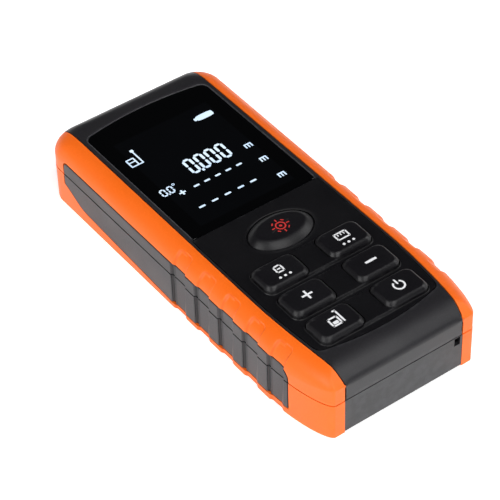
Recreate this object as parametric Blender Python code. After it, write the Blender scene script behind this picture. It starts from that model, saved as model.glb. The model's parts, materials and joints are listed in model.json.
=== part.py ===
"""A hand-held laser distance meter, lying on its back.

+Z points out of the screen, +Y towards the laser end and +X to the right of the keypad.
The origin is on the underside, in the middle of the footprint.
"""

import math

import bmesh
import bpy

MM = 0.001

# Driving dimensions of the whole instrument.
LENGTH = 118.0 * MM
WIDTH = 52.0 * MM
THICKNESS = 19.8 * MM
SPLIT_Z = 11.1 * MM  # the joint line between the two case halves
NEAR_Y = -LENGTH / 2  # the keypad end
FAR_Y = LENGTH / 2  # the laser end
FACE_Z = THICKNESS

# Clearances and walls.
GAP = 0.3 * MM  # between pieces that fit together
GRIP_WALL = 1.5 * MM  # soft overmould on the edges
EDGE_WALL = 3.5 * MM  # overmould, gap and shell together
FLOOR_WALL = 1.7 * MM  # underside of the back shell
FACE_WALL = 2.4 * MM  # front shell under the face
CUT = 1.0 * MM  # how far a cutter runs past what it cuts

# Outline of the case, seen from above.
NEAR_CORNER_X = 4.8 * MM  # the long soft corners at the keypad end
NEAR_CORNER_Y = 19.2 * MM
NEAR_CORNER_POWER = 1.65
FAR_CORNER = 6.4 * MM
SIDE_TAPER = 0.25 * MM  # each side, over the length

# Rounding of the upper edges and the chamfer of the lower ones.
SIDE_ROUND = 5.6 * MM
FAR_ROUND = 4.8 * MM
NEAR_SLOPE = 7.2 * MM  # length of the sloped nose at the keypad end
NEAR_DROP = 3.6 * MM  # and how far it falls
BASE_CHAMFER = 0.6 * MM
CAVITY_CHAMFER = 3.5 * MM

# Border between the black face and the coloured grips.
RAIL_WIDTH = 5.5 * MM
NEAR_RAIL_WIDTH = 8.0 * MM
FACE_HALF = WIDTH / 2 - RAIL_WIDTH
NEAR_END_HALF = WIDTH / 2 - NEAR_RAIL_WIDTH
BORDER_RUN = 32.0 * MM
BORDER_POWER = 1.7

# Hard panel in each side, and the grip ribs beside it.
PANEL_NEAR_Y = NEAR_Y + 13.0 * MM
PANEL_FAR_Y = FAR_Y - 8.6 * MM
PANEL_LOW_Z = 2.6 * MM
PANEL_HIGH_Z = FACE_Z - 4.8 * MM
PANEL_CORNER = 3.5 * MM
PANEL_FAR_CORNER = 1.6 * MM
PANEL_SLANT_Y = 11.0 * MM
PANEL_SLANT_Z = 2.4 * MM
RIB_COUNT = 5
RIB_PITCH = 10.0 * MM
FIRST_RIB_Y = NEAR_Y + 59.9 * MM
GROOVE_WIDTH = 1.2 * MM
GROOVE_DEPTH = 0.6 * MM
SCALLOP_LENGTH = 5.6 * MM
SCALLOP_DEPTH = 0.5 * MM
SCALLOP_TOP_Z = FACE_Z - 1.6 * MM

# Keypad.
MAT_INSET = 0.9 * MM
MAT_NEAR_Y = NEAR_Y + 7.8 * MM
MAT_ARC = 2.0 * MM
MAT_CORNER = 1.6 * MM
KEY_X = 9.8 * MM
KEY_ROW_PITCH = 10.9 * MM
NEAR_ROW_Y = NEAR_Y + 14.5 * MM
KEY_ROWS_Y = tuple(NEAR_ROW_Y + KEY_ROW_PITCH * row for row in (2, 1, 0))
KEY_SIZE = (12.8 * MM, 9.0 * MM)
KEY_CORNER = 1.6 * MM
KEY_TOP_INSET = 0.7 * MM
KEY_HEIGHT = 1.8 * MM  # above the face
BAR_HEIGHT = 0.7 * MM  # raised bar that carries a pair of keys
BAR_MARGIN = 0.5 * MM
KEY_TRAVEL = 0.6 * MM
STEM_SIZE = (9.0 * MM, 5.4 * MM)
LASER_KEY_Y = KEY_ROWS_Y[0] + 12.7 * MM
LASER_KEY_HALF = (9.2 * MM, 6.2 * MM)
LASER_KEY_TOP_INSET = 2.3 * MM
LASER_STEM_HALF = (5.5 * MM, 3.2 * MM)
FLANGE_MARGIN = 0.6 * MM
FLANGE_THICKNESS = 0.6 * MM

# Display.
SHEET = 0.9 * MM  # window and keypad mat thickness, flush with the face
WINDOW_HALF = FACE_HALF - 1.4 * MM
WINDOW_NEAR_Y = LASER_KEY_Y + 10.7 * MM
WINDOW_FAR_Y = FAR_Y - 7.4 * MM
WINDOW_ARC = 1.5 * MM
WINDOW_CORNER = 2.6 * MM
LCD_HALF = WINDOW_HALF - 2.1 * MM
LCD_NEAR_Y = WINDOW_NEAR_Y + 2.8 * MM
LCD_FAR_Y = WINDOW_FAR_Y - 7.4 * MM
LCD_THICKNESS = 1.6 * MM
GUIDE_THICKNESS = 1.1 * MM
FRAME_WALL = 0.8 * MM
RIBBON_FOOT = 2.0 * MM
RIBBON_HALF = 6.4 * MM

# Circuit board and what is on it.
BOARD_DEPTH = 5.9 * MM  # from the face down to the board
BOARD_TOP_Z = FACE_Z - BOARD_DEPTH
BOARD_THICKNESS = 1.0 * MM
BOARD_HALF = WIDTH / 2 - 10.0 * MM
BOARD_NEAR_Y = NEAR_Y + 11.0 * MM
BOARD_FAR_Y = FAR_Y - 35.5 * MM
CHIP_HEIGHT = 1.0 * MM
CONTROLLER_SIZE = 9.0 * MM
CONTROLLER_PLACE = (-5.5 * MM, BOARD_FAR_Y - 8.0 * MM)
SENSOR_SIZE = 3.0 * MM
SENSOR_PLACE = (-9.5 * MM, BOARD_FAR_Y - 18.0 * MM)
BUZZER_RADIUS = 4.5 * MM
BUZZER_HEIGHT = 3.0 * MM
BUZZER_PLACE = (8.0 * MM, BOARD_FAR_Y - 13.5 * MM)
DOME_RADIUS = 2.4 * MM
DOME_HEIGHT = 0.3 * MM

# Battery bay: two AAA cells, side by side.
CELL_RADIUS = 5.25 * MM
CELL_LENGTH = 44.5 * MM
CELL_NUB_RADIUS = 2.0 * MM
CELL_NUB = 1.0 * MM
CELL_ROOM = 0.55 * MM  # beside each cell
CELL_X = CELL_RADIUS + CELL_ROOM
BAY_HALF = CELL_X + CELL_RADIUS + CELL_ROOM
CONTACT_ROOM = 3.0 * MM  # at each end of the cells
BAY_WALL = 1.2 * MM
BAY_WALL_TOP_Z = 10.0 * MM
CONTACT_THICKNESS = 0.4 * MM
CONTACT_HALF_WIDTH = 4.2 * MM
CONTACT_HALF_HEIGHT = 3.7 * MM
SPRING_RADIUS = 2.6 * MM
SPRING_TIP_RADIUS = 1.2 * MM
SPRING_WIRE = 0.25 * MM
SPRING_TURNS = 2.5
COVER_THICKNESS = 1.6 * MM
COVER_MARGIN = 1.8 * MM  # from the keypad end to the cover
COVER_NEAR_Y = NEAR_Y + COVER_MARGIN
TAB_X = 7.0 * MM
TAB_WIDTH = 4.0 * MM
TAB_REACH = 2.0 * MM
TAB_THICKNESS = 0.8 * MM
TONGUE_HALF = 4.0 * MM
TONGUE_HEIGHT = 3.0 * MM
TONGUE_THICKNESS = 1.0 * MM
NOTCH_HALF = 5.2 * MM
NOTCH_HEIGHT = 0.5 * MM

# Laser end.
OPTICS_Z = 8.0 * MM
RECEIVER_X = 7.5 * MM
EMITTER_X = -8.0 * MM
BLOCK_HALF = 14.2 * MM
BLOCK_NEAR_Y = FAR_Y - 28.0 * MM
BLOCK_FAR_Y = FAR_Y - 3.8 * MM
BLOCK_LOW_Z = 2.3 * MM
BLOCK_HIGH_Z = 13.6 * MM
LENS_RADIUS = 5.0 * MM
LENS_THICKNESS = 3.0 * MM
TUBE_RADIUS = 2.9 * MM
TUBE_LENGTH = 18.0 * MM
TUBE_BORE = 2.3 * MM
TUBE_BORE_DEPTH = 4.0 * MM
BEZEL_HALF = WIDTH / 2 - 9.3 * MM
BEZEL_LOW_Z = 2.4 * MM
BEZEL_HIGH_Z = 14.0 * MM
BEZEL_THICKNESS = 3.0 * MM
RECEIVER_OPENING = 4.8 * MM
EMITTER_OPENING = 2.2 * MM
SENSOR_LENGTH = 2.2 * MM
EMITTER_GLASS = 1.0 * MM
EAR_Y = FAR_Y - 23.0 * MM
EAR_X = 17.0 * MM
EAR_HALF = 2.6 * MM
EAR_LOW_Z = 3.9 * MM
EAR_HIGH_Z = 5.9 * MM

# Fasteners.
NEAR_SCREW_X = WIDTH / 2 - 9.0 * MM
NEAR_SCREW_Y = NEAR_Y + 8.0 * MM
FAR_SCREW_X = WIDTH / 2 - 8.8 * MM
FAR_SCREW_Y = FAR_Y - 10.5 * MM
CASE_SCREWS = (
    ("case_screw_near_left", -NEAR_SCREW_X, NEAR_SCREW_Y),
    ("case_screw_near_right", NEAR_SCREW_X, NEAR_SCREW_Y),
    ("case_screw_far_left", -FAR_SCREW_X, FAR_SCREW_Y),
    ("case_screw_far_right", FAR_SCREW_X, FAR_SCREW_Y),
)
CASE_BOSS = 2.5 * MM
CASE_SHANK = 1.0 * MM
CASE_HEAD = 1.8 * MM
CASE_HEAD_Z = 1.2 * MM
CASE_HEAD_HEIGHT = 1.5 * MM
CASE_SHANK_TOP_Z = FACE_Z - 3.8 * MM
BOARD_SCREW_X = BOARD_HALF - 2.0 * MM
BOARD_SCREWS = (
    ("board_screw_near", 0.0, NEAR_ROW_Y + KEY_ROW_PITCH / 2),
    ("board_screw_left", -BOARD_SCREW_X, NEAR_Y + 45.0 * MM),
    ("board_screw_right", BOARD_SCREW_X, NEAR_Y + 45.0 * MM),
)
BOARD_POST = 1.9 * MM
SMALL_SHANK = 0.8 * MM
SMALL_HEAD = 1.5 * MM
SMALL_HEAD_HEIGHT = 1.0 * MM

# Wrist-strap channel, in the corner of the back shell.
STRAP_X = NEAR_END_HALF - 1.5 * MM
STRAP_HALF = 0.9 * MM
STRAP_LOW_Z = 8.3 * MM
STRAP_HIGH_Z = 10.8 * MM
STRAP_WEB = 1.1 * MM
STRAP_CHANNEL = 1.5 * MM

# Heights that follow from the sizes above.
LEDGE_Z = FACE_Z - SHEET - GAP
CEILING_Z = FACE_Z - FACE_WALL
BOARD_LOW_Z = BOARD_TOP_Z - BOARD_THICKNESS
KEY_TOP_Z = FACE_Z + KEY_HEIGHT
KEY_CAP_LOW_Z = LEDGE_Z + KEY_TRAVEL + GAP / 2
FLANGE_TOP_Z = CEILING_Z - GAP
DOME_LOW_Z = BOARD_TOP_Z + GAP
STEM_LOW_Z = DOME_LOW_Z + DOME_HEIGHT + KEY_TRAVEL + GAP / 2
BAY_NEAR_Y = NEAR_Y + 7.0 * MM
CELL_NEAR_Y = BAY_NEAR_Y + CONTACT_ROOM
CELL_FAR_Y = CELL_NEAR_Y + CELL_LENGTH
BAY_FAR_Y = CELL_FAR_Y + CONTACT_ROOM
CELL_Z = COVER_THICKNESS + GAP + CELL_RADIUS
COVER_FAR_Y = BAY_FAR_Y - GAP
TAB_LOW_Z = COVER_THICKNESS - TAB_THICKNESS / 2
POCKET_TOP_Z = math.hypot(TAB_REACH, TAB_LOW_Z + TAB_THICKNESS) + 2 * GAP  # room for the tabs' swing

ARC_STEPS = 5
ROUND_STEPS = 4
SIDES = 20


# ---------------------------------------------------------------- helpers


def clear_scene():
    for obj in list(bpy.data.objects):
        bpy.data.objects.remove(obj, do_unlink=True)


def material(name, colour, roughness, metallic=0.0):
    found = bpy.data.materials.get(name)
    if found:
        return found
    made = bpy.data.materials.new(name)
    made.use_nodes = True
    shader = made.node_tree.nodes["Principled BSDF"]
    shader.inputs["Base Color"].default_value = (*colour, 1.0)
    shader.inputs["Roughness"].default_value = roughness
    shader.inputs["Metallic"].default_value = metallic
    return made


def black_plastic():
    return material("black_plastic", (0.018, 0.018, 0.020), 0.55)


def grip_rubber():
    return material("grip_rubber", (0.95, 0.19, 0.02), 0.6)


def key_rubber():
    return material("key_rubber", (0.014, 0.014, 0.016), 0.7)


def gloss_window():
    return material("gloss_window", (0.004, 0.004, 0.005), 0.06)


def screw_steel():
    return material("screw_steel", (0.55, 0.55, 0.57), 0.35, 1.0)


def contact_steel():
    return material("contact_steel", (0.75, 0.75, 0.76), 0.25, 1.0)


def board_green():
    return material("board_green", (0.02, 0.12, 0.05), 0.5)


def chip_black():
    return material("chip_black", (0.02, 0.02, 0.02), 0.5)


def clear_glass():
    return material("clear_glass", (0.85, 0.9, 0.95), 0.03)


def cast_metal():
    return material("cast_metal", (0.45, 0.46, 0.48), 0.45, 1.0)


def make_object(name, mesh, finish=None):
    """A finish makes it a piece; without one it is a hidden cutter."""
    obj = bpy.data.objects.new(name, mesh)
    bpy.context.scene.collection.objects.link(obj)
    if finish:
        obj.data.materials.append(finish)
    else:
        obj.hide_render = True
        obj.display_type = "WIRE"
    return obj


def from_bmesh(name, bm, finish=None):
    bmesh.ops.recalc_face_normals(bm, faces=bm.faces)
    mesh = bpy.data.meshes.new(name)
    bm.to_mesh(mesh)
    bm.free()
    return make_object(name, mesh, finish)


def add_rings(bm, rings):
    """Joins rings of equally many points into one closed skin with flat ends."""
    levels = []
    for ring in rings:
        levels.append([bm.verts.new(point) for point in ring])
    count = len(levels[0])
    for low, high in zip(levels, levels[1:]):
        for i in range(count):
            j = (i + 1) % count
            bm.faces.new((low[i], low[j], high[j], high[i]))
    bm.faces.new(list(reversed(levels[0])))
    bm.faces.new(levels[-1])


def placed(u, v, w, axis):
    """A point from its place in the section (u, v) and along the axis (w)."""
    if axis == "X":
        return (w, u, v)
    if axis == "Y":
        return (u, w, v)
    return (u, v, w)


def prism_rings(outline, low, high, axis="Z"):
    return [[placed(u, v, w, axis) for u, v in outline] for w in (low, high)]


def rectangle(x0, x1, y0, y1):
    return [(x0, y0), (x1, y0), (x1, y1), (x0, y1)]


def circle(cx, cy, radius, sides=SIDES):
    return ellipse(cx, cy, radius, radius, sides)


def ellipse(cx, cy, half_x, half_y, sides=SIDES):
    turns = [2 * math.pi * i / sides for i in range(sides)]
    return [(cx + half_x * math.cos(a), cy + half_y * math.sin(a)) for a in turns]


def rounded_rectangle(cx, cy, size_x, size_y, radius, steps=ARC_STEPS):
    points = []
    for quarter, (sx, sy) in enumerate(((1, 1), (-1, 1), (-1, -1), (1, -1))):
        mid_x = cx + sx * (size_x / 2 - radius)
        mid_y = cy + sy * (size_y / 2 - radius)
        for i in range(steps + 1):
            angle = math.pi / 2 * (quarter + i / steps)
            points.append((mid_x + radius * math.cos(angle), mid_y + radius * math.sin(angle)))
    return points


def solids(name, ring_sets, finish=None):
    """One object from several separate closed skins."""
    bm = bmesh.new()
    for rings in ring_sets:
        add_rings(bm, rings)
    return from_bmesh(name, bm, finish)


def prism(name, outline, low, high, axis="Z", finish=None):
    return solids(name, [prism_rings(outline, low, high, axis)], finish)


def box(name, x0, x1, y0, y1, z0, z1, finish=None):
    return prism(name, rectangle(x0, x1, y0, y1), z0, z1, "Z", finish)


def turned(name, profile, centre, axis, finish=None, sides=SIDES):
    """A closed round solid from (radius, place along the axis) pairs."""
    rings = []
    for radius, along in profile:
        rings.append([placed(u, v, along, axis) for u, v in circle(*centre, radius, sides)])
    return solids(name, [rings], finish)


def combine(obj, other, operation):
    modifier = obj.modifiers.new(other.name, "BOOLEAN")
    modifier.operation = operation
    modifier.solver = "EXACT"
    modifier.object = other
    return obj


def cut(obj, *others):
    for other in others:
        combine(obj, other, "DIFFERENCE")
    return obj


def join(obj, *others):
    for other in others:
        combine(obj, other, "UNION")
    return obj


def keep(obj, other):
    return combine(obj, other, "INTERSECT")


def mirrored(outline):
    """The outline reflected across X = 0."""
    return [(-x, y) for x, y in reversed(outline)]


# ---------------------------------------------------------------- case form


def plan_ring(side_inset, near_inset, far_inset):
    """Half of the case outline, from the keypad end round to the laser end.

    Each entry is x, y, and how far the point belongs to the near end and to the far end.
    """
    half = WIDTH / 2 - side_inset
    near_half = half - SIDE_TAPER - NEAR_CORNER_X
    near_y = NEAR_Y + near_inset
    far_y = FAR_Y - far_inset
    points = []
    steps = ARC_STEPS + 2
    for i in range(steps + 1):
        angle = math.pi / 2 * i / steps
        x = near_half + NEAR_CORNER_X * math.sin(angle) ** (2 / NEAR_CORNER_POWER)
        reach = max(math.cos(angle), 0.0) ** (2 / NEAR_CORNER_POWER)
        y = near_y + NEAR_CORNER_Y * (1 - reach)
        points.append((x, y, math.cos(angle) ** 2, 0.0))
    for i in range(ARC_STEPS + 1):
        angle = math.pi / 2 * i / ARC_STEPS
        x = half - FAR_CORNER * (1 - math.cos(angle))
        y = far_y - FAR_CORNER * (1 - math.sin(angle))
        points.append((x, y, 0.0, math.sin(angle) ** 2))
    return points


def whole_ring(half_ring):
    left = [(-x, y, near, far) for x, y, near, far in reversed(half_ring)]
    return half_ring + left


def case_rings(inset, floor_z, top_z, side_chamfer, end_chamfer):
    """The case form, drawn in by inset all round: rounded above and chamfered below."""
    foot = plan_ring(inset + side_chamfer, inset + end_chamfer, inset + end_chamfer)
    wall = plan_ring(inset, inset, inset)
    rings = []
    for ring, z in ((foot, floor_z), (wall, floor_z + side_chamfer)):
        rings.append([(x, y, z) for x, y, _, _ in whole_ring(ring)])
    for i in range(ROUND_STEPS + 1):
        t = i / ROUND_STEPS
        drawn_in = 1 - math.cos(t * math.pi / 2)
        fall = 1 - math.sin(t * math.pi / 2)
        ring = whole_ring(
            plan_ring(
                inset + SIDE_ROUND * drawn_in,
                inset + NEAR_SLOPE * t,
                inset + FAR_ROUND * drawn_in,
            )
        )
        points = []
        for x, y, near, far in ring:
            drop = SIDE_ROUND * fall * (1 - near - far)
            drop += NEAR_DROP * (1 - t) ** 2 * near + FAR_ROUND * fall * far
            points.append((x, y, top_z - drop))
        rings.append(points)
    return rings


def case_form(name, inset=0.0, floor_z=0.0, top_z=FACE_Z, finish=None):
    rings = case_rings(inset, floor_z, top_z, BASE_CHAMFER, BASE_CHAMFER)
    return solids(name, [rings], finish)


def border_half(y):
    """Half width of the black face at y: it narrows towards the keypad end."""
    along = min(max((y - NEAR_Y) / BORDER_RUN, 0.0), 1.0)
    return FACE_HALF - (FACE_HALF - NEAR_END_HALF) * (1 - along) ** BORDER_POWER


def border_outline(extra, low_y, high_y, steps=8):
    right = []
    for i in range(steps + 1):
        y = low_y + (NEAR_Y + BORDER_RUN - low_y) * i / steps
        right.append((border_half(y) + extra, y))
    right.append((FACE_HALF + extra, high_y))
    return right + mirrored(right)


def corner_arc(cy, cz, radius, first_turn, steps=ARC_STEPS):
    points = []
    for i in range(steps + 1):
        angle = math.pi / 2 * (first_turn + i / steps)
        points.append((cy + radius * math.cos(angle), cz + radius * math.sin(angle)))
    return points


def panel_outline(extra):
    """The hard side panel in the YZ plane, grown by extra."""
    near = PANEL_NEAR_Y - extra
    far = PANEL_FAR_Y + extra
    low = PANEL_LOW_Z - extra
    high = PANEL_HIGH_Z + extra
    points = [(near, low), (far - PANEL_SLANT_Y, low), (far, low + PANEL_SLANT_Z)]
    points += corner_arc(far - PANEL_FAR_CORNER, high - PANEL_FAR_CORNER, PANEL_FAR_CORNER, 0)
    points += corner_arc(near + PANEL_CORNER, high - PANEL_CORNER, PANEL_CORNER, 1)
    return points


def hard_body(name, clearance):
    """The form of the hard shells: core, bare face and side panels, grown by the clearance."""
    inset = GRIP_WALL + GAP - clearance
    core = case_form(name, inset, inset, FACE_Z - inset)
    face = prism(
        name + "_face",
        border_outline(clearance, NEAR_Y - CUT, FAR_Y + CUT),
        -CUT,
        KEY_TOP_Z + CUT,
    )
    join(core, face)
    inner = WIDTH / 2 - EDGE_WALL - CUT
    outer = WIDTH / 2 + CUT
    for side, (low, high) in (("left", (-outer, -inner)), ("right", (inner, outer))):
        join(core, prism(f"{name}_panel_{side}", panel_outline(clearance), low, high, "X"))
    return core


def half_space(name, above):
    reach = LENGTH
    if above:
        return box(name, -reach, reach, -reach, reach, SPLIT_Z + GAP / 2, reach)
    return box(name, -reach, reach, -reach, reach, -reach, SPLIT_Z - GAP / 2)


def side_grooves(name):
    """The upright grooves in both side panels."""
    deep = WIDTH / 2 - GROOVE_DEPTH - SIDE_TAPER / 2
    sets = []
    for i in range(RIB_COUNT):
        y = FIRST_RIB_Y - RIB_PITCH * i
        outline = rectangle(y - GROOVE_WIDTH / 2, y + GROOVE_WIDTH / 2, -CUT, FACE_Z)
        sets.append(prism_rings(outline, deep, WIDTH, "X"))
        sets.append(prism_rings(outline, -WIDTH, -deep, "X"))
    return solids(name, sets)


def finger_recesses(name, inner):
    """Shallow upright slots with domed tops, on the near side of each groove.

    They lie between the skin and a form drawn in by the recess depth, outside the inner width.
    """
    radius = SCALLOP_LENGTH / 2
    sets = []
    for i in range(RIB_COUNT):
        far = FIRST_RIB_Y - RIB_PITCH * i
        near = far - SCALLOP_LENGTH
        outline = [(near, -CUT), (far, -CUT)]
        outline += corner_arc(far - radius, SCALLOP_TOP_Z - radius, radius, 0)
        outline += corner_arc(near + radius, SCALLOP_TOP_Z - radius, radius, 1)[1:]
        sets.append(prism_rings(outline, inner, WIDTH, "X"))
        sets.append(prism_rings(outline, -WIDTH, -inner, "X"))
    slots = solids(name, sets)
    floor = case_form(name + "_floor", SCALLOP_DEPTH, SCALLOP_DEPTH, FACE_Z - SCALLOP_DEPTH)
    return cut(slots, floor)


# ---------------------------------------------------------------- outlines on the face


def window_outline(extra):
    """Straight sides, round far corners and a shallow arc along the far edge."""
    half = WINDOW_HALF + extra
    near = WINDOW_NEAR_Y - extra
    shoulder = WINDOW_FAR_Y - WINDOW_ARC + extra
    right = [(half, near)]
    right += corner_arc(half - WINDOW_CORNER, shoulder - WINDOW_CORNER, WINDOW_CORNER, 0)
    for i in range(1, ARC_STEPS):
        x = (half - WINDOW_CORNER) * (1 - i / ARC_STEPS)
        right.append((x, WINDOW_FAR_Y + extra - WINDOW_ARC * (x / (half - WINDOW_CORNER)) ** 2))
    return right + [(0.0, WINDOW_FAR_Y + extra)] + mirrored(right)


def mat_outline(extra):
    """The keypad mat follows the border and ends in an arc at the keypad end."""
    near_half = border_half(MAT_NEAR_Y + MAT_ARC) - MAT_INSET
    corner_y = MAT_NEAR_Y + MAT_ARC
    right = [(0.0, MAT_NEAR_Y - extra)]
    for i in range(1, ARC_STEPS):
        x = (near_half - MAT_CORNER) * i / ARC_STEPS
        right.append((x, MAT_NEAR_Y + MAT_ARC * (i / ARC_STEPS) ** 2 - extra))
    centre = (near_half - MAT_CORNER + extra, corner_y + MAT_CORNER - extra)
    right += corner_arc(*centre, MAT_CORNER, 3)
    far = WINDOW_NEAR_Y - GAP + extra
    steps = 6
    for i in range(1, steps + 1):
        y = corner_y + MAT_CORNER + (far - corner_y - MAT_CORNER) * i / steps
        right.append((border_half(y) - MAT_INSET + extra, y))
    return right + mirrored(right)[:-1]


def key_places():
    """Name, centre and whether the key is the oval one."""
    left = ("key_menu", "key_plus", "key_reference")
    right = ("key_units", "key_minus", "key_clear")
    places = [("key_laser", 0.0, LASER_KEY_Y, True)]
    for y, left_name, right_name in zip(KEY_ROWS_Y, left, right):
        places.append((left_name, -KEY_X, y, False))
        places.append((right_name, KEY_X, y, False))
    return places


def cap_outline(x, y, oval, extra):
    if oval:
        return ellipse(x, y, LASER_KEY_HALF[0] + extra, LASER_KEY_HALF[1] + extra, 2 * SIDES)
    width, depth = (size + 2 * extra for size in KEY_SIZE)
    return rounded_rectangle(x, y, width, depth, KEY_CORNER + extra, 3)


def stem_outline(x, y, oval, extra):
    if oval:
        return ellipse(x, y, LASER_STEM_HALF[0] + extra, LASER_STEM_HALF[1] + extra)
    width, depth = (size + 2 * extra for size in STEM_SIZE)
    return rounded_rectangle(x, y, width, depth, KEY_CORNER / 2 + extra, 2)


# ---------------------------------------------------------------- shells and grips


def screw_rings(places, radius, low_z, high_z):
    return [prism_rings(circle(x, y, radius), low_z, high_z) for _, x, y in places]


def bezel_opening(name):
    return box(
        name,
        -BEZEL_HALF - GAP,
        BEZEL_HALF + GAP,
        FAR_Y - EDGE_WALL - CUT,
        FAR_Y + CUT,
        BEZEL_LOW_Z - GAP,
        BEZEL_HIGH_Z + GAP,
    )


def shell_cavity(name):
    """The hollow inside both shells, chamfered along its lower sides to clear the grips."""
    return solids(name, [case_rings(EDGE_WALL, FLOOR_WALL, CEILING_Z, CAVITY_CHAMFER, 0.0)])


def make_front_shell():
    shell = case_form("front_shell", finish=black_plastic())
    cut(shell, shell_cavity("front_cavity"))
    keep(shell, half_space("front_half", above=True))
    posts = screw_rings(CASE_SCREWS, CASE_BOSS, SPLIT_Z + GAP / 2, CEILING_Z + FACE_WALL / 4)
    posts += screw_rings(BOARD_SCREWS, BOARD_POST, BOARD_TOP_Z + GAP, CEILING_Z + FACE_WALL / 4)
    join(shell, solids("front_posts", posts))
    keep(shell, hard_body("front_hard_body", 0.0))
    top = FACE_Z + CUT
    cut(shell, prism("window_recess", window_outline(GAP), LEDGE_Z, top))
    cut(shell, prism("mat_recess", mat_outline(GAP), LEDGE_Z, top))
    sight = rectangle(-LCD_HALF - GAP, LCD_HALF + GAP, LCD_NEAR_Y - GAP, LCD_FAR_Y + GAP)
    cut(shell, prism("display_opening", sight, CEILING_Z - CUT, top))
    holes = []
    for _, x, y, oval in key_places():
        holes.append(prism_rings(stem_outline(x, y, oval, GAP), CEILING_Z - CUT / 2, LEDGE_Z + CUT))
    cut(shell, solids("stem_holes", holes))
    pilots = screw_rings(CASE_SCREWS, CASE_SHANK + GAP, SPLIT_Z - CUT, CASE_SHANK_TOP_Z + GAP)
    pilots += screw_rings(
        BOARD_SCREWS, SMALL_SHANK + GAP, BOARD_TOP_Z, CEILING_Z + GAP
    )
    cut(shell, solids("front_pilots", pilots))
    cut(shell, bezel_opening("front_bezel_opening"), side_grooves("front_grooves"))
    cut(shell, finger_recesses("front_recesses", WIDTH / 2 - EDGE_WALL))


def make_back_shell():
    shell = case_form("back_shell", finish=black_plastic())
    cut(shell, shell_cavity("back_cavity"))
    keep(shell, half_space("back_half", above=False))
    root_z = FLOOR_WALL - GAP
    outer = BAY_HALF + BAY_WALL
    block = rectangle(-outer, outer, BAY_NEAR_Y - BAY_WALL, BAY_FAR_Y + BAY_WALL)
    bosses = [prism_rings(block, root_z, BAY_WALL_TOP_Z)]
    bosses += screw_rings(CASE_SCREWS, CASE_BOSS, root_z, SPLIT_Z - GAP / 2)
    for side in (-1, 1):
        ear = circle(side * EAR_X, EAR_Y, EAR_HALF - GAP)
        bosses.append(prism_rings(ear, root_z, EAR_LOW_Z - GAP))
    join(shell, solids("back_bosses", bosses))
    keep(shell, hard_body("back_hard_body", 0.0))
    bay = rectangle(-BAY_HALF, BAY_HALF, BAY_NEAR_Y, BAY_FAR_Y)
    cut(shell, prism("bay_hollow", bay, -CUT, SPLIT_Z + CUT))
    seat = rectangle(-BAY_HALF, BAY_HALF, COVER_NEAR_Y - GAP, BAY_FAR_Y - GAP / 2)
    cut(shell, prism("cover_seat", seat, -CUT, COVER_THICKNESS + GAP))
    tongue_near = NEAR_Y + EDGE_WALL
    tongue_room = rectangle(
        -TONGUE_HALF - GAP,
        TONGUE_HALF + GAP,
        tongue_near,
        tongue_near + TONGUE_THICKNESS + 2 * GAP,
    )
    tongue_top = COVER_THICKNESS + TONGUE_HEIGHT + GAP
    cut(shell, prism("tongue_room", tongue_room, -CUT, tongue_top))
    pockets = []
    for side in (-1, 1):
        half = TAB_WIDTH / 2 + GAP
        outline = rectangle(
            side * TAB_X - half,
            side * TAB_X + half,
            BAY_FAR_Y - CUT / 2,
            COVER_FAR_Y + TAB_REACH + GAP,
        )
        pockets.append(prism_rings(outline, TAB_LOW_Z - GAP, POCKET_TOP_Z))
    cut(shell, solids("tab_pockets", pockets))
    drilled = screw_rings(CASE_SCREWS, CASE_SHANK + GAP, -CUT, SPLIT_Z + CUT)
    cut(shell, solids("case_screw_holes", drilled))
    seats = screw_rings(CASE_SCREWS, CASE_HEAD + GAP, -CUT, case_seat_z())
    cut(shell, solids("case_screw_seats", seats))
    ears = [
        prism_rings(circle(side * EAR_X, EAR_Y, SMALL_SHANK + GAP), FLOOR_WALL / 2, SPLIT_Z)
        for side in (-1, 1)
    ]
    cut(shell, solids("optics_screw_holes", ears))
    notch = rectangle(-NOTCH_HALF, NOTCH_HALF, NEAR_Y - CUT, COVER_NEAR_Y)
    cut(shell, prism("finger_notch", notch, -CUT, NOTCH_HEIGHT))
    slot_inner = NEAR_Y + STRAP_WEB + STRAP_CHANNEL
    slot = rectangle(STRAP_X - STRAP_HALF, STRAP_X + STRAP_HALF, NEAR_Y - CUT, slot_inner)
    cut(shell, prism("strap_slot", slot, STRAP_LOW_Z, STRAP_HIGH_Z))
    channel = rectangle(
        STRAP_X - STRAP_HALF, STRAP_X + STRAP_HALF, NEAR_Y + STRAP_WEB, slot_inner
    )
    cut(shell, prism("strap_channel", channel, -CUT, STRAP_HIGH_Z - GAP))
    cut(shell, bezel_opening("back_bezel_opening"), side_grooves("back_grooves"))
    cut(shell, finger_recesses("back_recesses", WIDTH / 2 - EDGE_WALL))


def make_grips():
    """The soft edges: two on the front shell and two on the back shell."""
    outer = WIDTH
    inner = NEAR_END_HALF / 2
    for half, above in (("front", True), ("back", False)):
        for side, (low, high) in (("left", (-outer, -inner)), ("right", (inner, outer))):
            name = f"grip_{half}_{side}"
            grip = case_form(name, finish=grip_rubber())
            cut(grip, finger_recesses(name + "_recesses", NEAR_END_HALF))
            cut(grip, hard_body(name + "_hard_body", GAP))
            keep(grip, half_space(name + "_half", above))
            keep(grip, box(name + "_side", low, high, -LENGTH, LENGTH, -LENGTH, LENGTH))


# ---------------------------------------------------------------- display and keypad


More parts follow.
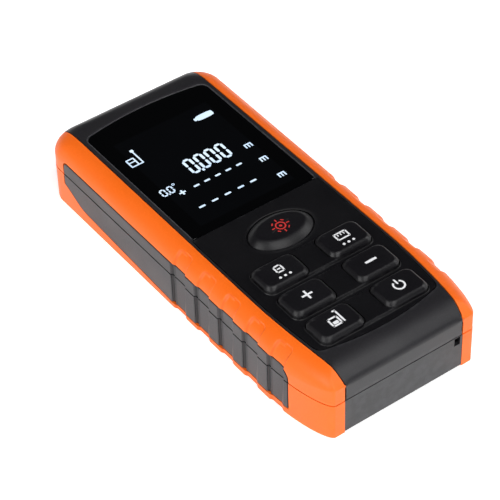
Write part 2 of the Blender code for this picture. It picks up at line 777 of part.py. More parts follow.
def make_display():
    prism("display_window", window_outline(0.0), FACE_Z - SHEET, FACE_Z, finish=gloss_window())
    lcd_top = LEDGE_Z - GAP / 3
    lcd_low = lcd_top - LCD_THICKNESS
    glass = rectangle(-LCD_HALF, LCD_HALF, LCD_NEAR_Y, LCD_FAR_Y)
    prism("lcd_panel", glass, lcd_low, lcd_top, finish=clear_glass())
    guide_top = lcd_low - GAP
    guide_low = guide_top - GUIDE_THICKNESS
    prism(
        "backlight_guide",
        glass,
        guide_low,
        guide_top,
        finish=material("light_guide", (0.9, 0.92, 0.95), 0.2),
    )
    frame_low = guide_low - GAP - FRAME_WALL
    outer = FRAME_WALL + GAP
    tray = rectangle(
        -LCD_HALF - outer, LCD_HALF + outer, LCD_NEAR_Y - outer, LCD_FAR_Y + outer
    )
    frame_top = CEILING_Z - 2 * GAP
    frame = prism("lcd_frame", tray, frame_low, frame_top, finish=chip_black())
    pocket = rectangle(-LCD_HALF - GAP, LCD_HALF + GAP, LCD_NEAR_Y - GAP, LCD_FAR_Y + GAP)
    cut(frame, prism("frame_pocket", pocket, guide_low - GAP, CEILING_Z + CUT))
    strap_y = LCD_NEAR_Y - outer - GAP
    foot = RIBBON_FOOT
    thin = GAP
    low = BOARD_TOP_Z + GAP
    ribbon = [
        (strap_y - foot, low),
        (strap_y, low),
        (strap_y, frame_top),
        (strap_y - thin, frame_top),
        (strap_y - thin, low + thin),
        (strap_y - foot, low + thin),
    ]
    prism(
        "display_ribbon",
        ribbon,
        -RIBBON_HALF,
        RIBBON_HALF,
        "X",
        material("ribbon_amber", (0.45, 0.22, 0.03), 0.4),
    )


def make_keypad_mat():
    mat = prism("keypad_mat", mat_outline(0.0), FACE_Z - SHEET, FACE_Z, finish=key_rubber())
    bars = []
    for y in KEY_ROWS_Y:
        width = 2 * KEY_X + KEY_SIZE[0] + 2 * BAR_MARGIN
        depth = KEY_SIZE[1] + 2 * BAR_MARGIN
        corner = KEY_CORNER + BAR_MARGIN
        base = rounded_rectangle(0.0, y, width, depth, corner)
        slope = BAR_HEIGHT / 2
        crown = rounded_rectangle(0.0, y, width - 2 * slope, depth - 2 * slope, corner - slope)
        foot = [(u, v, FACE_Z - SHEET / 2) for u, v in base]
        skirt = [(u, v, FACE_Z) for u, v in base]
        bars.append([foot, skirt, [(u, v, FACE_Z + BAR_HEIGHT) for u, v in crown]])
    join(mat, solids("mat_bars", bars))
    holes = []
    for _, x, y, oval in key_places():
        outline = cap_outline(x, y, oval, GAP)
        holes.append(prism_rings(outline, LEDGE_Z - CUT, KEY_TOP_Z + CUT))
    cut(mat, solids("mat_key_holes", holes))


def make_key(name, x, y, oval):
    """A cap with sloped sides, a stem through the shell and a flange that keeps it in."""
    inset = LASER_KEY_TOP_INSET if oval else KEY_TOP_INSET
    start_z = FACE_Z if oval else FACE_Z + BAR_HEIGHT
    bm = bmesh.new()
    low = [(u - x, v - y, KEY_CAP_LOW_Z) for u, v in cap_outline(x, y, oval, 0.0)]
    wall = [(u - x, v - y, start_z) for u, v in cap_outline(x, y, oval, 0.0)]
    crown = [(u - x, v - y, KEY_TOP_Z) for u, v in cap_outline(x, y, oval, -inset)]
    add_rings(bm, [low, wall, crown])
    key = from_bmesh(name, bm, key_rubber())
    key.location = (x, y, 0.0)
    stem = prism(name + "_stem", stem_outline(x, y, oval, 0.0), STEM_LOW_Z, FACE_Z)
    flange_outline = stem_outline(x, y, oval, FLANGE_MARGIN)
    flange = prism(
        name + "_flange", flange_outline, FLANGE_TOP_Z - FLANGE_THICKNESS, FLANGE_TOP_Z
    )
    join(key, stem, flange)


def make_keys():
    dome_steel = contact_steel()
    for name, x, y, oval in key_places():
        make_key(name, x, y, oval)
        profile = [
            (DOME_RADIUS, DOME_LOW_Z),
            (DOME_RADIUS * 0.8, DOME_LOW_Z + DOME_HEIGHT * 0.7),
            (DOME_RADIUS * 0.3, DOME_LOW_Z + DOME_HEIGHT),
        ]
        turned(name.replace("key_", "dome_"), profile, (x, y), "Z", dome_steel)


# ---------------------------------------------------------------- electronics


def make_board():
    board = box(
        "main_board",
        -BOARD_HALF,
        BOARD_HALF,
        BOARD_NEAR_Y,
        BOARD_FAR_Y,
        BOARD_LOW_Z,
        BOARD_TOP_Z,
        board_green(),
    )
    holes = screw_rings(BOARD_SCREWS, SMALL_SHANK + GAP, BOARD_LOW_Z - CUT, BOARD_TOP_Z + CUT)
    cut(board, solids("board_screw_holes", holes))
    corners = screw_rings(CASE_SCREWS, CASE_BOSS + GAP, BOARD_LOW_Z - CUT, BOARD_TOP_Z + CUT)
    cut(board, solids("board_corner_cuts", corners))
    under = BOARD_LOW_Z - GAP
    chips = (
        ("controller_chip", CONTROLLER_PLACE, CONTROLLER_SIZE),
        ("tilt_sensor", SENSOR_PLACE, SENSOR_SIZE),
    )
    for name, (x, y), size in chips:
        outline = rectangle(x - size / 2, x + size / 2, y - size / 2, y + size / 2)
        prism(name, outline, under - CHIP_HEIGHT, under, finish=chip_black())
    buzzer = [(BUZZER_RADIUS, under - BUZZER_HEIGHT), (BUZZER_RADIUS, under)]
    turned("buzzer", buzzer, BUZZER_PLACE, "Z", chip_black())


def make_optics():
    block = box(
        "optics_block",
        -BLOCK_HALF,
        BLOCK_HALF,
        BLOCK_NEAR_Y,
        BLOCK_FAR_Y,
        BLOCK_LOW_Z,
        BLOCK_HIGH_Z,
        cast_metal(),
    )
    ear_out = EAR_X + EAR_HALF
    ears = rectangle(-ear_out, ear_out, EAR_Y - EAR_HALF, EAR_Y + EAR_HALF)
    join(block, prism("block_ears", ears, EAR_LOW_Z, EAR_HIGH_Z))
    bores = []
    for x, radius in ((RECEIVER_X, LENS_RADIUS), (EMITTER_X, TUBE_RADIUS)):
        outline = circle(x, OPTICS_Z, radius + GAP)
        bores.append(prism_rings(outline, BLOCK_NEAR_Y - CUT, BLOCK_FAR_Y + CUT, "Y"))
    cut(block, solids("optics_bores", bores))
    holes = []
    for side in (-1, 1):
        outline = circle(side * EAR_X, EAR_Y, SMALL_SHANK + GAP)
        holes.append(prism_rings(outline, EAR_LOW_Z - CUT, EAR_HIGH_Z + CUT))
    cut(block, solids("ear_holes", holes))

    lens_far = BLOCK_FAR_Y - GAP
    edge = LENS_THICKNESS / 3
    lens = [
        (LENS_RADIUS * 0.45, lens_far - LENS_THICKNESS),
        (LENS_RADIUS, lens_far - LENS_THICKNESS + edge),
        (LENS_RADIUS, lens_far - edge),
        (LENS_RADIUS * 0.75, lens_far - edge / 3),
        (LENS_RADIUS * 0.3, lens_far),
    ]
    turned("receiver_lens", lens, (RECEIVER_X, OPTICS_Z), "Y", clear_glass())

    brass = material("laser_brass", (0.70, 0.50, 0.18), 0.3, 1.0)
    tube = [(TUBE_RADIUS, lens_far - TUBE_LENGTH), (TUBE_RADIUS, lens_far)]
    tube_object = turned("laser_tube", tube, (EMITTER_X, OPTICS_Z), "Y", brass)
    bore = prism(
        "laser_tube_bore",
        circle(EMITTER_X, OPTICS_Z, TUBE_BORE),
        lens_far - TUBE_BORE_DEPTH,
        lens_far + CUT,
        "Y",
    )
    cut(tube_object, bore)
    small = TUBE_BORE - GAP
    seat = lens_far - TUBE_BORE_DEPTH + GAP
    collimator = [
        (small, seat),
        (small, seat + small / 2),
        (small * 0.4, seat + small * 0.9),
    ]
    turned("collimator_lens", collimator, (EMITTER_X, OPTICS_Z), "Y", clear_glass())

    board_far = BLOCK_NEAR_Y - GAP
    half = LENS_RADIUS + 2 * GAP
    receiver_board = rectangle(
        RECEIVER_X - half, RECEIVER_X + half, board_far - BOARD_THICKNESS, board_far
    )
    prism(
        "receiver_board",
        receiver_board,
        BLOCK_LOW_Z,
        BLOCK_HIGH_Z - GAP,
        finish=board_green(),
    )
    sensor_radius = LENS_RADIUS / 2
    sensor = [(sensor_radius, BLOCK_NEAR_Y), (sensor_radius, BLOCK_NEAR_Y + SENSOR_LENGTH)]
    turned("receiver_sensor", sensor, (RECEIVER_X, OPTICS_Z), "Y", cast_metal())


def make_bezel():
    near = FAR_Y - BEZEL_THICKNESS
    bezel = box(
        "front_bezel",
        -BEZEL_HALF,
        BEZEL_HALF,
        near,
        FAR_Y,
        BEZEL_LOW_Z,
        BEZEL_HIGH_Z,
        gloss_window(),
    )
    openings = []
    for x, radius in ((RECEIVER_X, RECEIVER_OPENING), (EMITTER_X, EMITTER_OPENING)):
        openings.append(prism_rings(circle(x, OPTICS_Z, radius), near - CUT, FAR_Y + CUT, "Y"))
    cut(bezel, solids("bezel_openings", openings))
    window_radius = EMITTER_OPENING - GAP
    glass_near = near + (BEZEL_THICKNESS - EMITTER_GLASS) / 2
    window = [(window_radius, glass_near), (window_radius, glass_near + EMITTER_GLASS)]
    turned("emitter_window", window, (EMITTER_X, OPTICS_Z), "Y", clear_glass())


# ---------------------------------------------------------------- battery bay


def case_seat_z():
    return CASE_HEAD_Z + CASE_HEAD_HEIGHT + GAP


def make_cells():
    steel = material("cell_sleeve", (0.10, 0.22, 0.42), 0.4)
    body = CELL_LENGTH - CELL_NUB
    first = [
        (CELL_RADIUS, CELL_NEAR_Y),
        (CELL_RADIUS, CELL_NEAR_Y + body),
        (CELL_NUB_RADIUS, CELL_NEAR_Y + body),
        (CELL_NUB_RADIUS, CELL_FAR_Y),
    ]
    second = [
        (CELL_NUB_RADIUS, CELL_NEAR_Y),
        (CELL_NUB_RADIUS, CELL_FAR_Y - body),
        (CELL_RADIUS, CELL_FAR_Y - body),
        (CELL_RADIUS, CELL_FAR_Y),
    ]
    turned("battery_cell_left", first, (-CELL_X, CELL_Z), "Y", steel)
    turned("battery_cell_right", second, (CELL_X, CELL_Z), "Y", steel)


def make_spring(name, x, low_y, high_y):
    """A conical helix between the contact plate and the flat end of a cell."""
    curve = bpy.data.curves.new(name, "CURVE")
    curve.dimensions = "3D"
    curve.bevel_depth = SPRING_WIRE
    curve.bevel_resolution = 1
    curve.use_fill_caps = True
    count = int(SPRING_TURNS * 12) + 1
    spline = curve.splines.new("POLY")
    spline.points.add(count - 1)
    low = low_y + SPRING_WIRE
    high = high_y - SPRING_WIRE
    for i in range(count):
        part = i / (count - 1)
        angle = 2 * math.pi * SPRING_TURNS * part
        radius = SPRING_RADIUS + (SPRING_TIP_RADIUS - SPRING_RADIUS) * part
        along = low + (high - low) * part
        point = (x + radius * math.cos(angle), along, CELL_Z + radius * math.sin(angle), 1.0)
        spline.points[i].co = point
    curve.materials.append(contact_steel())
    obj = bpy.data.objects.new(name, curve)
    bpy.context.scene.collection.objects.link(obj)


def plate_rings(x0, x1, low_y, high_y):
    low_z = CELL_Z - CONTACT_HALF_HEIGHT
    high_z = CELL_Z + CONTACT_HALF_HEIGHT
    outline = [(x0, low_z), (x1, low_z), (x1, high_z), (x0, high_z)]
    return prism_rings(outline, low_y, high_y, "Y")


def dimple(name, x, low_y, high_y):
    return prism(name, circle(x, CELL_Z, CELL_NUB_RADIUS), low_y, high_y, "Y")


def make_contacts():
    near_low = BAY_NEAR_Y + GAP
    near_high = near_low + CONTACT_THICKNESS
    far_high = BAY_FAR_Y - GAP
    far_low = far_high - CONTACT_THICKNESS
    half = CONTACT_HALF_WIDTH
    bridge = solids(
        "contact_bridge",
        [plate_rings(-CELL_X - half, CELL_X + half, near_low, near_high)],
        contact_steel(),
    )
    overlap = CONTACT_THICKNESS / 2
    join(bridge, dimple("bridge_dimple", CELL_X, near_high - overlap, CELL_NEAR_Y - GAP))
    positive = solids(
        "contact_positive",
        [plate_rings(-CELL_X - half, -CELL_X + half, far_low, far_high)],
        contact_steel(),
    )
    join(positive, dimple("positive_dimple", -CELL_X, CELL_FAR_Y + GAP, far_low + overlap))
    solids(
        "contact_negative",
        [plate_rings(CELL_X - half, CELL_X + half, far_low, far_high)],
        contact_steel(),
    )
    make_spring("battery_spring_left", -CELL_X, near_high + GAP, CELL_NEAR_Y - GAP)
    make_spring("battery_spring_right", CELL_X, CELL_FAR_Y + GAP, far_low - GAP)


def make_battery_cover():
    """A plate with two hinge tabs at its far end and a latch tongue at its near end.

    It swings about its lower far edge, which is where its origin lies.
    """
    half = BAY_HALF - GAP
    bm = bmesh.new()
    outline = rectangle(-half, half, COVER_NEAR_Y - COVER_FAR_Y, 0.0)
    add_rings(bm, prism_rings(outline, 0.0, COVER_THICKNESS))
    cover = from_bmesh("battery_cover", bm, black_plastic())
    cover.location = (0.0, COVER_FAR_Y, 0.0)
    tabs = []
    for side in (-1, 1):
        x = side * TAB_X
        outline = rectangle(
            x - TAB_WIDTH / 2, x + TAB_WIDTH / 2, COVER_FAR_Y - CUT, COVER_FAR_Y + TAB_REACH
        )
        tabs.append(prism_rings(outline, TAB_LOW_Z, TAB_LOW_Z + TAB_THICKNESS))
    join(cover, solids("cover_tabs", tabs))
    near = NEAR_Y + EDGE_WALL + GAP
    tongue = rectangle(-TONGUE_HALF, TONGUE_HALF, near, near + TONGUE_THICKNESS)
    join(cover, prism("cover_tongue", tongue, COVER_THICKNESS / 2, COVER_THICKNESS + TONGUE_HEIGHT))


# ---------------------------------------------------------------- fasteners


def make_screws():
    steel = screw_steel()
    head_top = CASE_HEAD_Z + CASE_HEAD_HEIGHT
    for name, x, y in CASE_SCREWS:
        profile = [
            (CASE_HEAD, CASE_HEAD_Z),
            (CASE_HEAD, head_top),
            (CASE_SHANK, head_top),
            (CASE_SHANK, CASE_SHANK_TOP_Z),
        ]
        turned(name, profile, (x, y), "Z", steel, 16)
    head_top = BOARD_LOW_Z - GAP
    for name, x, y in BOARD_SCREWS:
        profile = [
            (SMALL_HEAD, head_top - SMALL_HEAD_HEIGHT),
            (SMALL_HEAD, head_top),
            (SMALL_SHANK, head_top),
            (SMALL_SHANK, CEILING_Z - GAP),
        ]
        turned(name, profile, (x, y), "Z", steel, 12)
    for name, side in (("optics_screw_left", -1), ("optics_screw_right", 1)):
        head_low = EAR_HIGH_Z + GAP
        profile = [
            (SMALL_SHANK, FLOOR_WALL),
            (SMALL_SHANK, head_low),
            (SMALL_HEAD, head_low),
            (SMALL_HEAD, head_low + SMALL_HEAD_HEIGHT),
        ]
        turned(name, profile, (side * EAR_X, EAR_Y), "Z", steel, 12)


def main():
    clear_scene()
    make_front_shell()
    make_back_shell()
    make_grips()
    make_display()
    make_keypad_mat()
    make_keys()
    make_board()
    make_optics()
    make_bezel()
    make_cells()
    make_contacts()
    make_battery_cover()
    make_screws()


main()
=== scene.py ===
"""The laser distance meter's looks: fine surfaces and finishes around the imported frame."""

import json
import math

import bmesh
import bpy
import numpy as np
from mathutils import Matrix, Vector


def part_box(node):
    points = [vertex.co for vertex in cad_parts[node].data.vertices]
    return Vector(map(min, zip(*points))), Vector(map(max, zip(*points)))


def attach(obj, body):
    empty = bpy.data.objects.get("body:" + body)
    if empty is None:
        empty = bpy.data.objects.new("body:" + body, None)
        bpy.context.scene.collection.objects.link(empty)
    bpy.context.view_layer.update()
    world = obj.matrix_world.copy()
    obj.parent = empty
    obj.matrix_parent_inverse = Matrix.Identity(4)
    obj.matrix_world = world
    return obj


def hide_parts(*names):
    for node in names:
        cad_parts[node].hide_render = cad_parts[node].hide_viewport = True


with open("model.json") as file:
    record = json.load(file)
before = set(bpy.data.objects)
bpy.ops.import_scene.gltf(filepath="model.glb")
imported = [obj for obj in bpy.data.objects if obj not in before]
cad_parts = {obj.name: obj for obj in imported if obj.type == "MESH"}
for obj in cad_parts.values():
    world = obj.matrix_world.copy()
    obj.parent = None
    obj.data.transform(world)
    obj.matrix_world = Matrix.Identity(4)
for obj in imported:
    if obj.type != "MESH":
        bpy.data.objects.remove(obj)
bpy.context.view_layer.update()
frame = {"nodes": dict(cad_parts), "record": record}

MM = 0.001
GAP = 0.3 * MM
QUARTER = math.pi / 2

# Main planes of the meter, read from the frame.
WINDOW_LOW, WINDOW_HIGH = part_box("display_window")
FACE_Z = WINDOW_HIGH[2]
NEAR_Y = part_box("back_shell")[0][1]
FAR_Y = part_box("back_shell")[1][1]
HALF_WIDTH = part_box("grip_back_right")[1][0]
SPLIT_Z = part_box("grip_front_left")[0][2] - GAP / 2
KEY_TOP_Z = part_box("key_plus")[1][2]

# Rounding of the case, as the shells have it.
NEAR_CORNER_X = 4.8 * MM
NEAR_CORNER_Y = 19.2 * MM
NEAR_POWER = 1.65
FAR_CORNER = 6.4 * MM
SIDE_TAPER = 0.25 * MM
SIDE_ROUND = 5.6 * MM
FAR_ROUND = 4.8 * MM
NEAR_SLOPE = 7.2 * MM
NEAR_DROP = 3.6 * MM
BASE_CHAMFER = 0.25 * MM
UNDERSIDE_REACH = 9.0 * MM
FACE_HALF = 20.5 * MM
NEAR_END_HALF = 18.0 * MM
BORDER_RUN = 32.0 * MM
BORDER_POWER = 1.7
CREASE_ROUND = 1.1 * MM
CREASE_DROP = 0.6 * CREASE_ROUND
CREASE_FADE = 2.0 * MM

# Side panels, ribs and finger recesses.
PANEL_NEAR_Y = -46.0 * MM
PANEL_FAR_Y = 50.4 * MM
PANEL_HIGH_Z = 15.0 * MM
PANEL_CORNER = 3.5 * MM
PANEL_FAR_CORNER = 1.6 * MM
# The panel's lower edge climbs slowly from the first groove to the laser end, then steeply.
PANEL_EDGE_Y = (-46.3 * MM, 0.9 * MM, 42.6 * MM, 50.7 * MM)
PANEL_EDGE_Z = (2.3 * MM, 1.65 * MM, 4.1 * MM, 8.2 * MM)
PANEL_SHADE = 0.32 * MM
RIB_COUNT = 5
RIB_PITCH = 10.0 * MM
FIRST_RIB_Y = 0.9 * MM
GROOVE_WIDTH = 1.1 * MM
GROOVE_DEPTH = 0.55 * MM
RECESS_LENGTH = 5.6 * MM
RECESS_DEPTH = 0.45 * MM
RECESS_TOP = 20.5 * MM
RECESS_CORNER = 1.3 * MM
# The lower grips and panels stand this much proud, clear of the back shell's own skin.
LOWER_PROUD = 0.07 * MM
GRIP_STEP = 0.22 * MM
GRIP_BEFORE = 129
GRIP_AFTER = 59

# Face openings and the keypad.
SHEET = 0.9 * MM
MAT_INSET = 0.9 * MM
MAT_NEAR_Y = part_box("keypad_mat")[0][1]
MAT_ARC = 2.0 * MM
MAT_CORNER = 1.6 * MM
MAT_FAR_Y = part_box("keypad_mat")[1][1]
WINDOW_ARC = 1.5 * MM
WINDOW_CORNER = 2.6 * MM
BAR_HEIGHT = 0.7 * MM
BAR_MARGIN = 0.5 * MM
KEY_CORNER = 2.1 * MM
CAP_STEM = (4.5 * MM, 2.7 * MM)
OVAL_STEM = (5.5 * MM, 3.2 * MM)
KEY_NAMES = ("key_laser", "key_menu", "key_plus", "key_reference", "key_units", "key_minus", "key_clear")
RIGHT_KEYS = ("key_clear", "key_minus", "key_units")


# ---------------------------------------------------------------- numbers, paths and meshes


def unit(value):
    """The value held between 0 and 1."""
    return np.clip(value, 0, 1)


def positive(value):
    """The value where it is above 0, and 0 elsewhere."""
    return np.clip(value, 0, None)


def smooth_step(value):
    """0 below 0, 1 above 1 and an even S-curve between."""
    value = unit(value)
    return value * value * (3.0 - 2.0 * value)


def between(first, last, share):
    """The point or value that lies a share of the way from first to last."""
    return first + (last - first) * share


def join(*parts):
    """Points from their separate coordinates, any of which may be a single number."""
    return np.stack(np.broadcast_arrays(*parts), axis=-1)


def chain(*pieces):
    """Paths or rows one after another."""
    return np.concatenate(pieces)


def level(loop, z):
    """A flat outline of (x, y) laid at a height."""
    return join(loop[..., 0], loop[..., 1], z)


def mirror_path(half):
    """A right half outline and its mirror image as one closed loop."""
    return chain(half, half[::-1][1:-1] * (-1, 1))


def arc(cx, cy, radius, first, last, count=12):
    """Points of an arc between two angles in degrees."""
    turn = np.radians(np.linspace(first, last, count))
    return join(cx + radius * np.cos(turn), cy + radius * np.sin(turn))


def resample(path, count):
    """Evenly spaced points along a path, by its running length."""
    path = np.asarray(path, float)
    steps = np.linalg.norm(np.diff(path, axis=0), axis=1)
    run = chain([0.0], np.cumsum(steps))
    at = np.linspace(0.0, run[-1], count)
    return np.stack([np.interp(at, run, path[:, k]) for k in range(path.shape[1])], axis=-1)


def normals(grid):
    """Unit normals of a grid of points, from the cross product of its two directions."""
    upright = np.cross(np.gradient(grid, axis=1), np.gradient(grid, axis=0))
    return upright / np.maximum(np.linalg.norm(upright, axis=-1, keepdims=True), 1e-12)


def finish_mesh(name, shape, material, body="case", smooth=40.0, edge=None, stands_for=None):
    """Makes a piece of (points, faces): seams welded, edges softened, on its body and with its material."""
    points, faces = shape
    mesh = bpy.data.meshes.new(name)
    mesh.from_pydata(points.reshape(-1, 3).tolist(), [], faces)
    bm = bmesh.new()
    bm.from_mesh(mesh)
    bmesh.ops.remove_doubles(bm, verts=bm.verts, dist=2e-6)
    bmesh.ops.dissolve_degenerate(bm, edges=bm.edges, dist=1e-6)
    bmesh.ops.recalc_face_normals(bm, faces=bm.faces)
    bm.to_mesh(mesh)
    bm.free()
    mesh.shade_smooth()
    mesh.set_sharp_from_angle(angle=math.radians(smooth))
    mesh.materials.append(material)
    obj = bpy.data.objects.new(name, mesh)
    bpy.context.scene.collection.objects.link(obj)
    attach(obj, body)
    if edge:
        modifier = obj.modifiers.new("soft_edges", "BEVEL")
        modifier.width = edge
        modifier.segments = 2
        modifier.limit_method = "ANGLE"
        modifier.angle_limit = math.radians(35.0)
        modifier.harden_normals = False
    if stands_for:
        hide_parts(stands_for)
    return obj


def grid_faces(rows, columns, wrap_rows=False, wrap_columns=False, start=0):
    """Quads of a grid whose points are stored row by row; wrapping joins last to first."""
    i, j = np.meshgrid(
        np.arange(rows if wrap_rows else rows - 1),
        np.arange(columns if wrap_columns else columns - 1),
        indexing="ij",
    )
    here = i * columns
    there = (i + 1) % rows * columns
    after = (j + 1) % columns
    quads = join(here + j, here + after, there + after, there + j)
    return (quads.reshape(-1, 4) + start).tolist()


def closed_grid(grid):
    """A grid that closes on itself in both directions, as a shape."""
    return grid, grid_faces(*grid.shape[:2], wrap_rows=True, wrap_columns=True)


def tube(rings):
    """Rings joined into an open tube, as a shape."""
    rings = np.asarray(rings)
    return rings, grid_faces(*rings.shape[:2], wrap_columns=True)


def loft(rings):
    """Rings (R, N, 3) of a closed section, with a flat or domed fan over each end ring."""
    rings = np.asarray(rings, float)
    count, sides = rings.shape[:2]
    points = chain(rings.reshape(-1, 3), [rings[0].mean(axis=0), rings[-1].mean(axis=0)])
    step = np.arange(sides)
    after = (step + 1) % sides
    last = (count - 1) * sides
    low = join(count * sides, after, step)
    high = join(count * sides + 1, last + step, last + after)
    return points, tube(rings)[1] + low.tolist() + high.tolist()


def together(shapes):
    """Several (points, faces) shapes as one."""
    points = []
    faces = []
    start = 0
    for part_points, part_faces in shapes:
        part_points = np.asarray(part_points, float).reshape(-1, 3)
        points.append(part_points)
        faces += [[index + start for index in face] for face in part_faces]
        start += len(part_points)
    return chain(*points), faces


def mirrored(shape):
    """The shape reflected across X = 0; normals are put right when the mesh is made."""
    points, faces = shape
    return np.asarray(points) * (-1, 1, 1), [list(reversed(face)) for face in faces]


def slab(outer, inner):
    """A closed wall between two grids of the same size."""
    rows, columns = outer.shape[:2]
    below = rows * columns
    points = chain(outer.reshape(-1, 3), inner.reshape(-1, 3))
    faces = grid_faces(rows, columns)
    faces += [face[::-1] for face in grid_faces(rows, columns, start=below)]
    edge = chain(
        np.arange(columns),
        np.arange(1, rows) * columns + columns - 1,
        (rows - 1) * columns + np.arange(columns - 2, -1, -1),
        np.arange(rows - 2, 0, -1) * columns,
    )
    after = np.roll(edge, -1)
    return points, faces + join(edge, edge + below, after + below, after).tolist()


def shade_relief(obj, mask):
    """Stores a 0..1 mask of painted shade on the mesh, worked out from each point's y and z; the material
    darkens its colour by it.
    """
    mesh = obj.data
    points = np.empty(len(mesh.vertices) * 3, np.float32)
    mesh.vertices.foreach_get("co", points)
    points = points.reshape(-1, 3).astype(float)
    layer = mesh.attributes.new("relief", "FLOAT", "POINT")
    layer.data.foreach_set("value", mask(points[:, 1], points[:, 2]).astype(np.float32))


# ---------------------------------------------------------------- the case skin


def plan(u, side, near, far):
    """The right half of the case outline, drawn in by side, near and far.

    u runs 0..1 along the near end, 1..2 round the long near corner (a superellipse),
    2..3 along the side, 3..4 round the far corner (a circle) and 4..5 along the far end.
    Returns x, y and how much a point belongs to the near and to the far end.
    """
    half = HALF_WIDTH - side
    near_y = NEAR_Y + near
    far_y = FAR_Y - far
    turn = unit(u - 1) * QUARTER
    reach = unit(np.cos(turn))
    x = (half - SIDE_TAPER - NEAR_CORNER_X) * unit(u) + NEAR_CORNER_X * np.sin(turn) ** (2 / NEAR_POWER)
    y = near_y + NEAR_CORNER_Y * (1 - reach ** (2 / NEAR_POWER))
    along = unit(u - 2)
    x = x + SIDE_TAPER * along
    y = y + (far_y - FAR_CORNER - near_y - NEAR_CORNER_Y) * along
    bend = unit(u - 3) * QUARTER
    x = x - FAR_CORNER * (1 - np.cos(bend)) - (half - FAR_CORNER) * unit(u - 4)
    y = y + FAR_CORNER * np.sin(bend)
    return x, y, np.where(u < 1, 1.0, reach**2), np.where(u > 4, 1.0, np.sin(bend) ** 2)


def skin_drop(t, near, far):
    """How far the rounded top lies below the face, t of the way in, for shares of each end."""
    fall = 1 - np.sin(t * QUARTER)
    sides = unit(1 - near - far)
    return SIDE_ROUND * fall * sides + NEAR_DROP * (1 - t) ** 2 * near + FAR_ROUND * fall * far


def skin(u, v):
    """The outer skin: v -1..0 crosses the underside, 0..1 climbs the wall, 1..2 rounds the top."""
    u, v = np.broadcast_arrays(np.asarray(u, float), np.asarray(v, float))
    t = unit(v - 1)
    drawn = 1 - np.cos(t * QUARTER)
    below = unit(-v)
    chamfered = unit(below / 0.1)
    under = BASE_CHAMFER * chamfered + UNDERSIDE_REACH * unit((below - 0.1) / 0.9)
    x, y, near, far = plan(u, SIDE_ROUND * drawn + under, NEAR_SLOPE * t + under, FAR_ROUND * drawn + under)
    wall_height = FACE_Z - skin_drop(0.0, near, far) - BASE_CHAMFER
    wall_z = BASE_CHAMFER * (1 - chamfered) + wall_height * unit(v)
    return join(x, y, np.where(v > 1, FACE_Z - skin_drop(t, near, far), wall_z))


def skin_at(y, z, steps=8):
    """The u and v of side points whose y and z are given, by Newton's method."""
    v = np.clip(z / (FACE_Z - SIDE_ROUND), 0.05, 1.6)
    tiny = 1e-4
    table_u = np.linspace(1.05, 3.9, 400)
    u = np.interp(y, skin(table_u, 0.5)[:, 1], table_u)
    for _ in range(steps):
        here = skin(u, v)
        slope_u = (skin(u + tiny, v) - here) / tiny
        slope_v = (skin(u, v + tiny) - here) / tiny
        miss_y = y - here[..., 1]
        miss_z = z - here[..., 2]
        det = slope_u[..., 1] * slope_v[..., 2] - slope_u[..., 2] * slope_v[..., 1]
        u = u + np.clip((miss_y * slope_v[..., 2] - miss_z * slope_v[..., 1]) / det, -0.2, 0.2)
        v = v + np.clip((slope_u[..., 1] * miss_z - slope_u[..., 2] * miss_y) / det, -0.2, 0.2)
    return u, v


def halved(shape, low, high, past):
    """Halves the interval from low, where a test holds, to high, where it does not, 40 times."""
    low = np.full(shape, float(low))
    high = np.full(shape, float(high))
    for _ in range(40):
        middle = (low + high) / 2
        held = past(middle)
        high = np.where(held, high, middle)
        low = np.where(held, middle, low)
    return low, high


def border_half(y):
    """Half width of the black face: it narrows towards the keypad end."""
    along = unit((y - NEAR_Y) / BORDER_RUN)
    return FACE_HALF - (FACE_HALF - NEAR_END_HALF) * (1 - along) ** BORDER_POWER


def border_v(u, low, high, extra):
    """Where the skin at u passes the border."""

    def outside(middle):
        here = skin(u, middle)
        return here[..., 0] > border_half(here[..., 1]) + extra

    low, high = halved(np.shape(u), low, high, outside)
    return (low + high) / 2


def face_height(x, y):
    """Height of the case's upper skin over any point of the plan."""
    x = np.abs(x)

    def parts(t):
        drawn = 1 - np.cos(t * QUARTER)
        half = HALF_WIDTH - SIDE_ROUND * drawn
        near_x = positive(x - (half - SIDE_TAPER - NEAR_CORNER_X)) / NEAR_CORNER_X
        near_y = positive(NEAR_Y + NEAR_SLOPE * t + NEAR_CORNER_Y - y) / NEAR_CORNER_Y
        far_x = positive(x - (half - FAR_CORNER)) / FAR_CORNER
        far_y = positive(y - (FAR_Y - FAR_ROUND * drawn - FAR_CORNER)) / FAR_CORNER
        near_in = near_x**NEAR_POWER + near_y**NEAR_POWER <= 1
        near_part = np.where(near_x > 0, near_y**NEAR_POWER, near_y > 0)
        far_part = np.where(far_x > 0, far_y**2, far_y > 0)
        return near_in & (far_x**2 + far_y**2 <= 1), near_part, far_part

    t = halved(np.shape(x), 0, 1, lambda middle: parts(middle)[0])[0]
    _, near, far = parts(t)
    level_part = t > 0.9999
    return FACE_Z - skin_drop(t, np.where(level_part, 0, unit(near)), np.where(level_part, 0, unit(far)))


def recess(y, z):
    """How deep a side point is pressed in by the finger recesses.

    Each is an upright slot with rounded top corners, measured along the skin: up the wall,
    then round the rail's quarter circle. The side towards the laser end is soft.
    """
    wall_top = FACE_Z - SIDE_ROUND
    run = np.minimum(z, wall_top) + SIDE_ROUND * np.arcsin(unit((z - wall_top) / SIDE_ROUND))
    half = RECESS_LENGTH / 2
    above = positive(run - (RECESS_TOP - RECESS_CORNER))
    crisp = 0.4 * MM + 0.9 * MM * smooth_step((9.0 * MM - z) / (6.0 * MM))
    total = np.zeros(np.shape(y))
    for i in range(RIB_COUNT):
        middle = FIRST_RIB_Y - RIB_PITCH * i - half
        beside = positive(np.abs(y - middle) - (half - RECESS_CORNER))
        soft = np.where(y > middle, 1.2 * MM, crisp)
        total = total + smooth_step((RECESS_CORNER - np.hypot(beside, above)) / soft)
    return unit(total) * RECESS_DEPTH


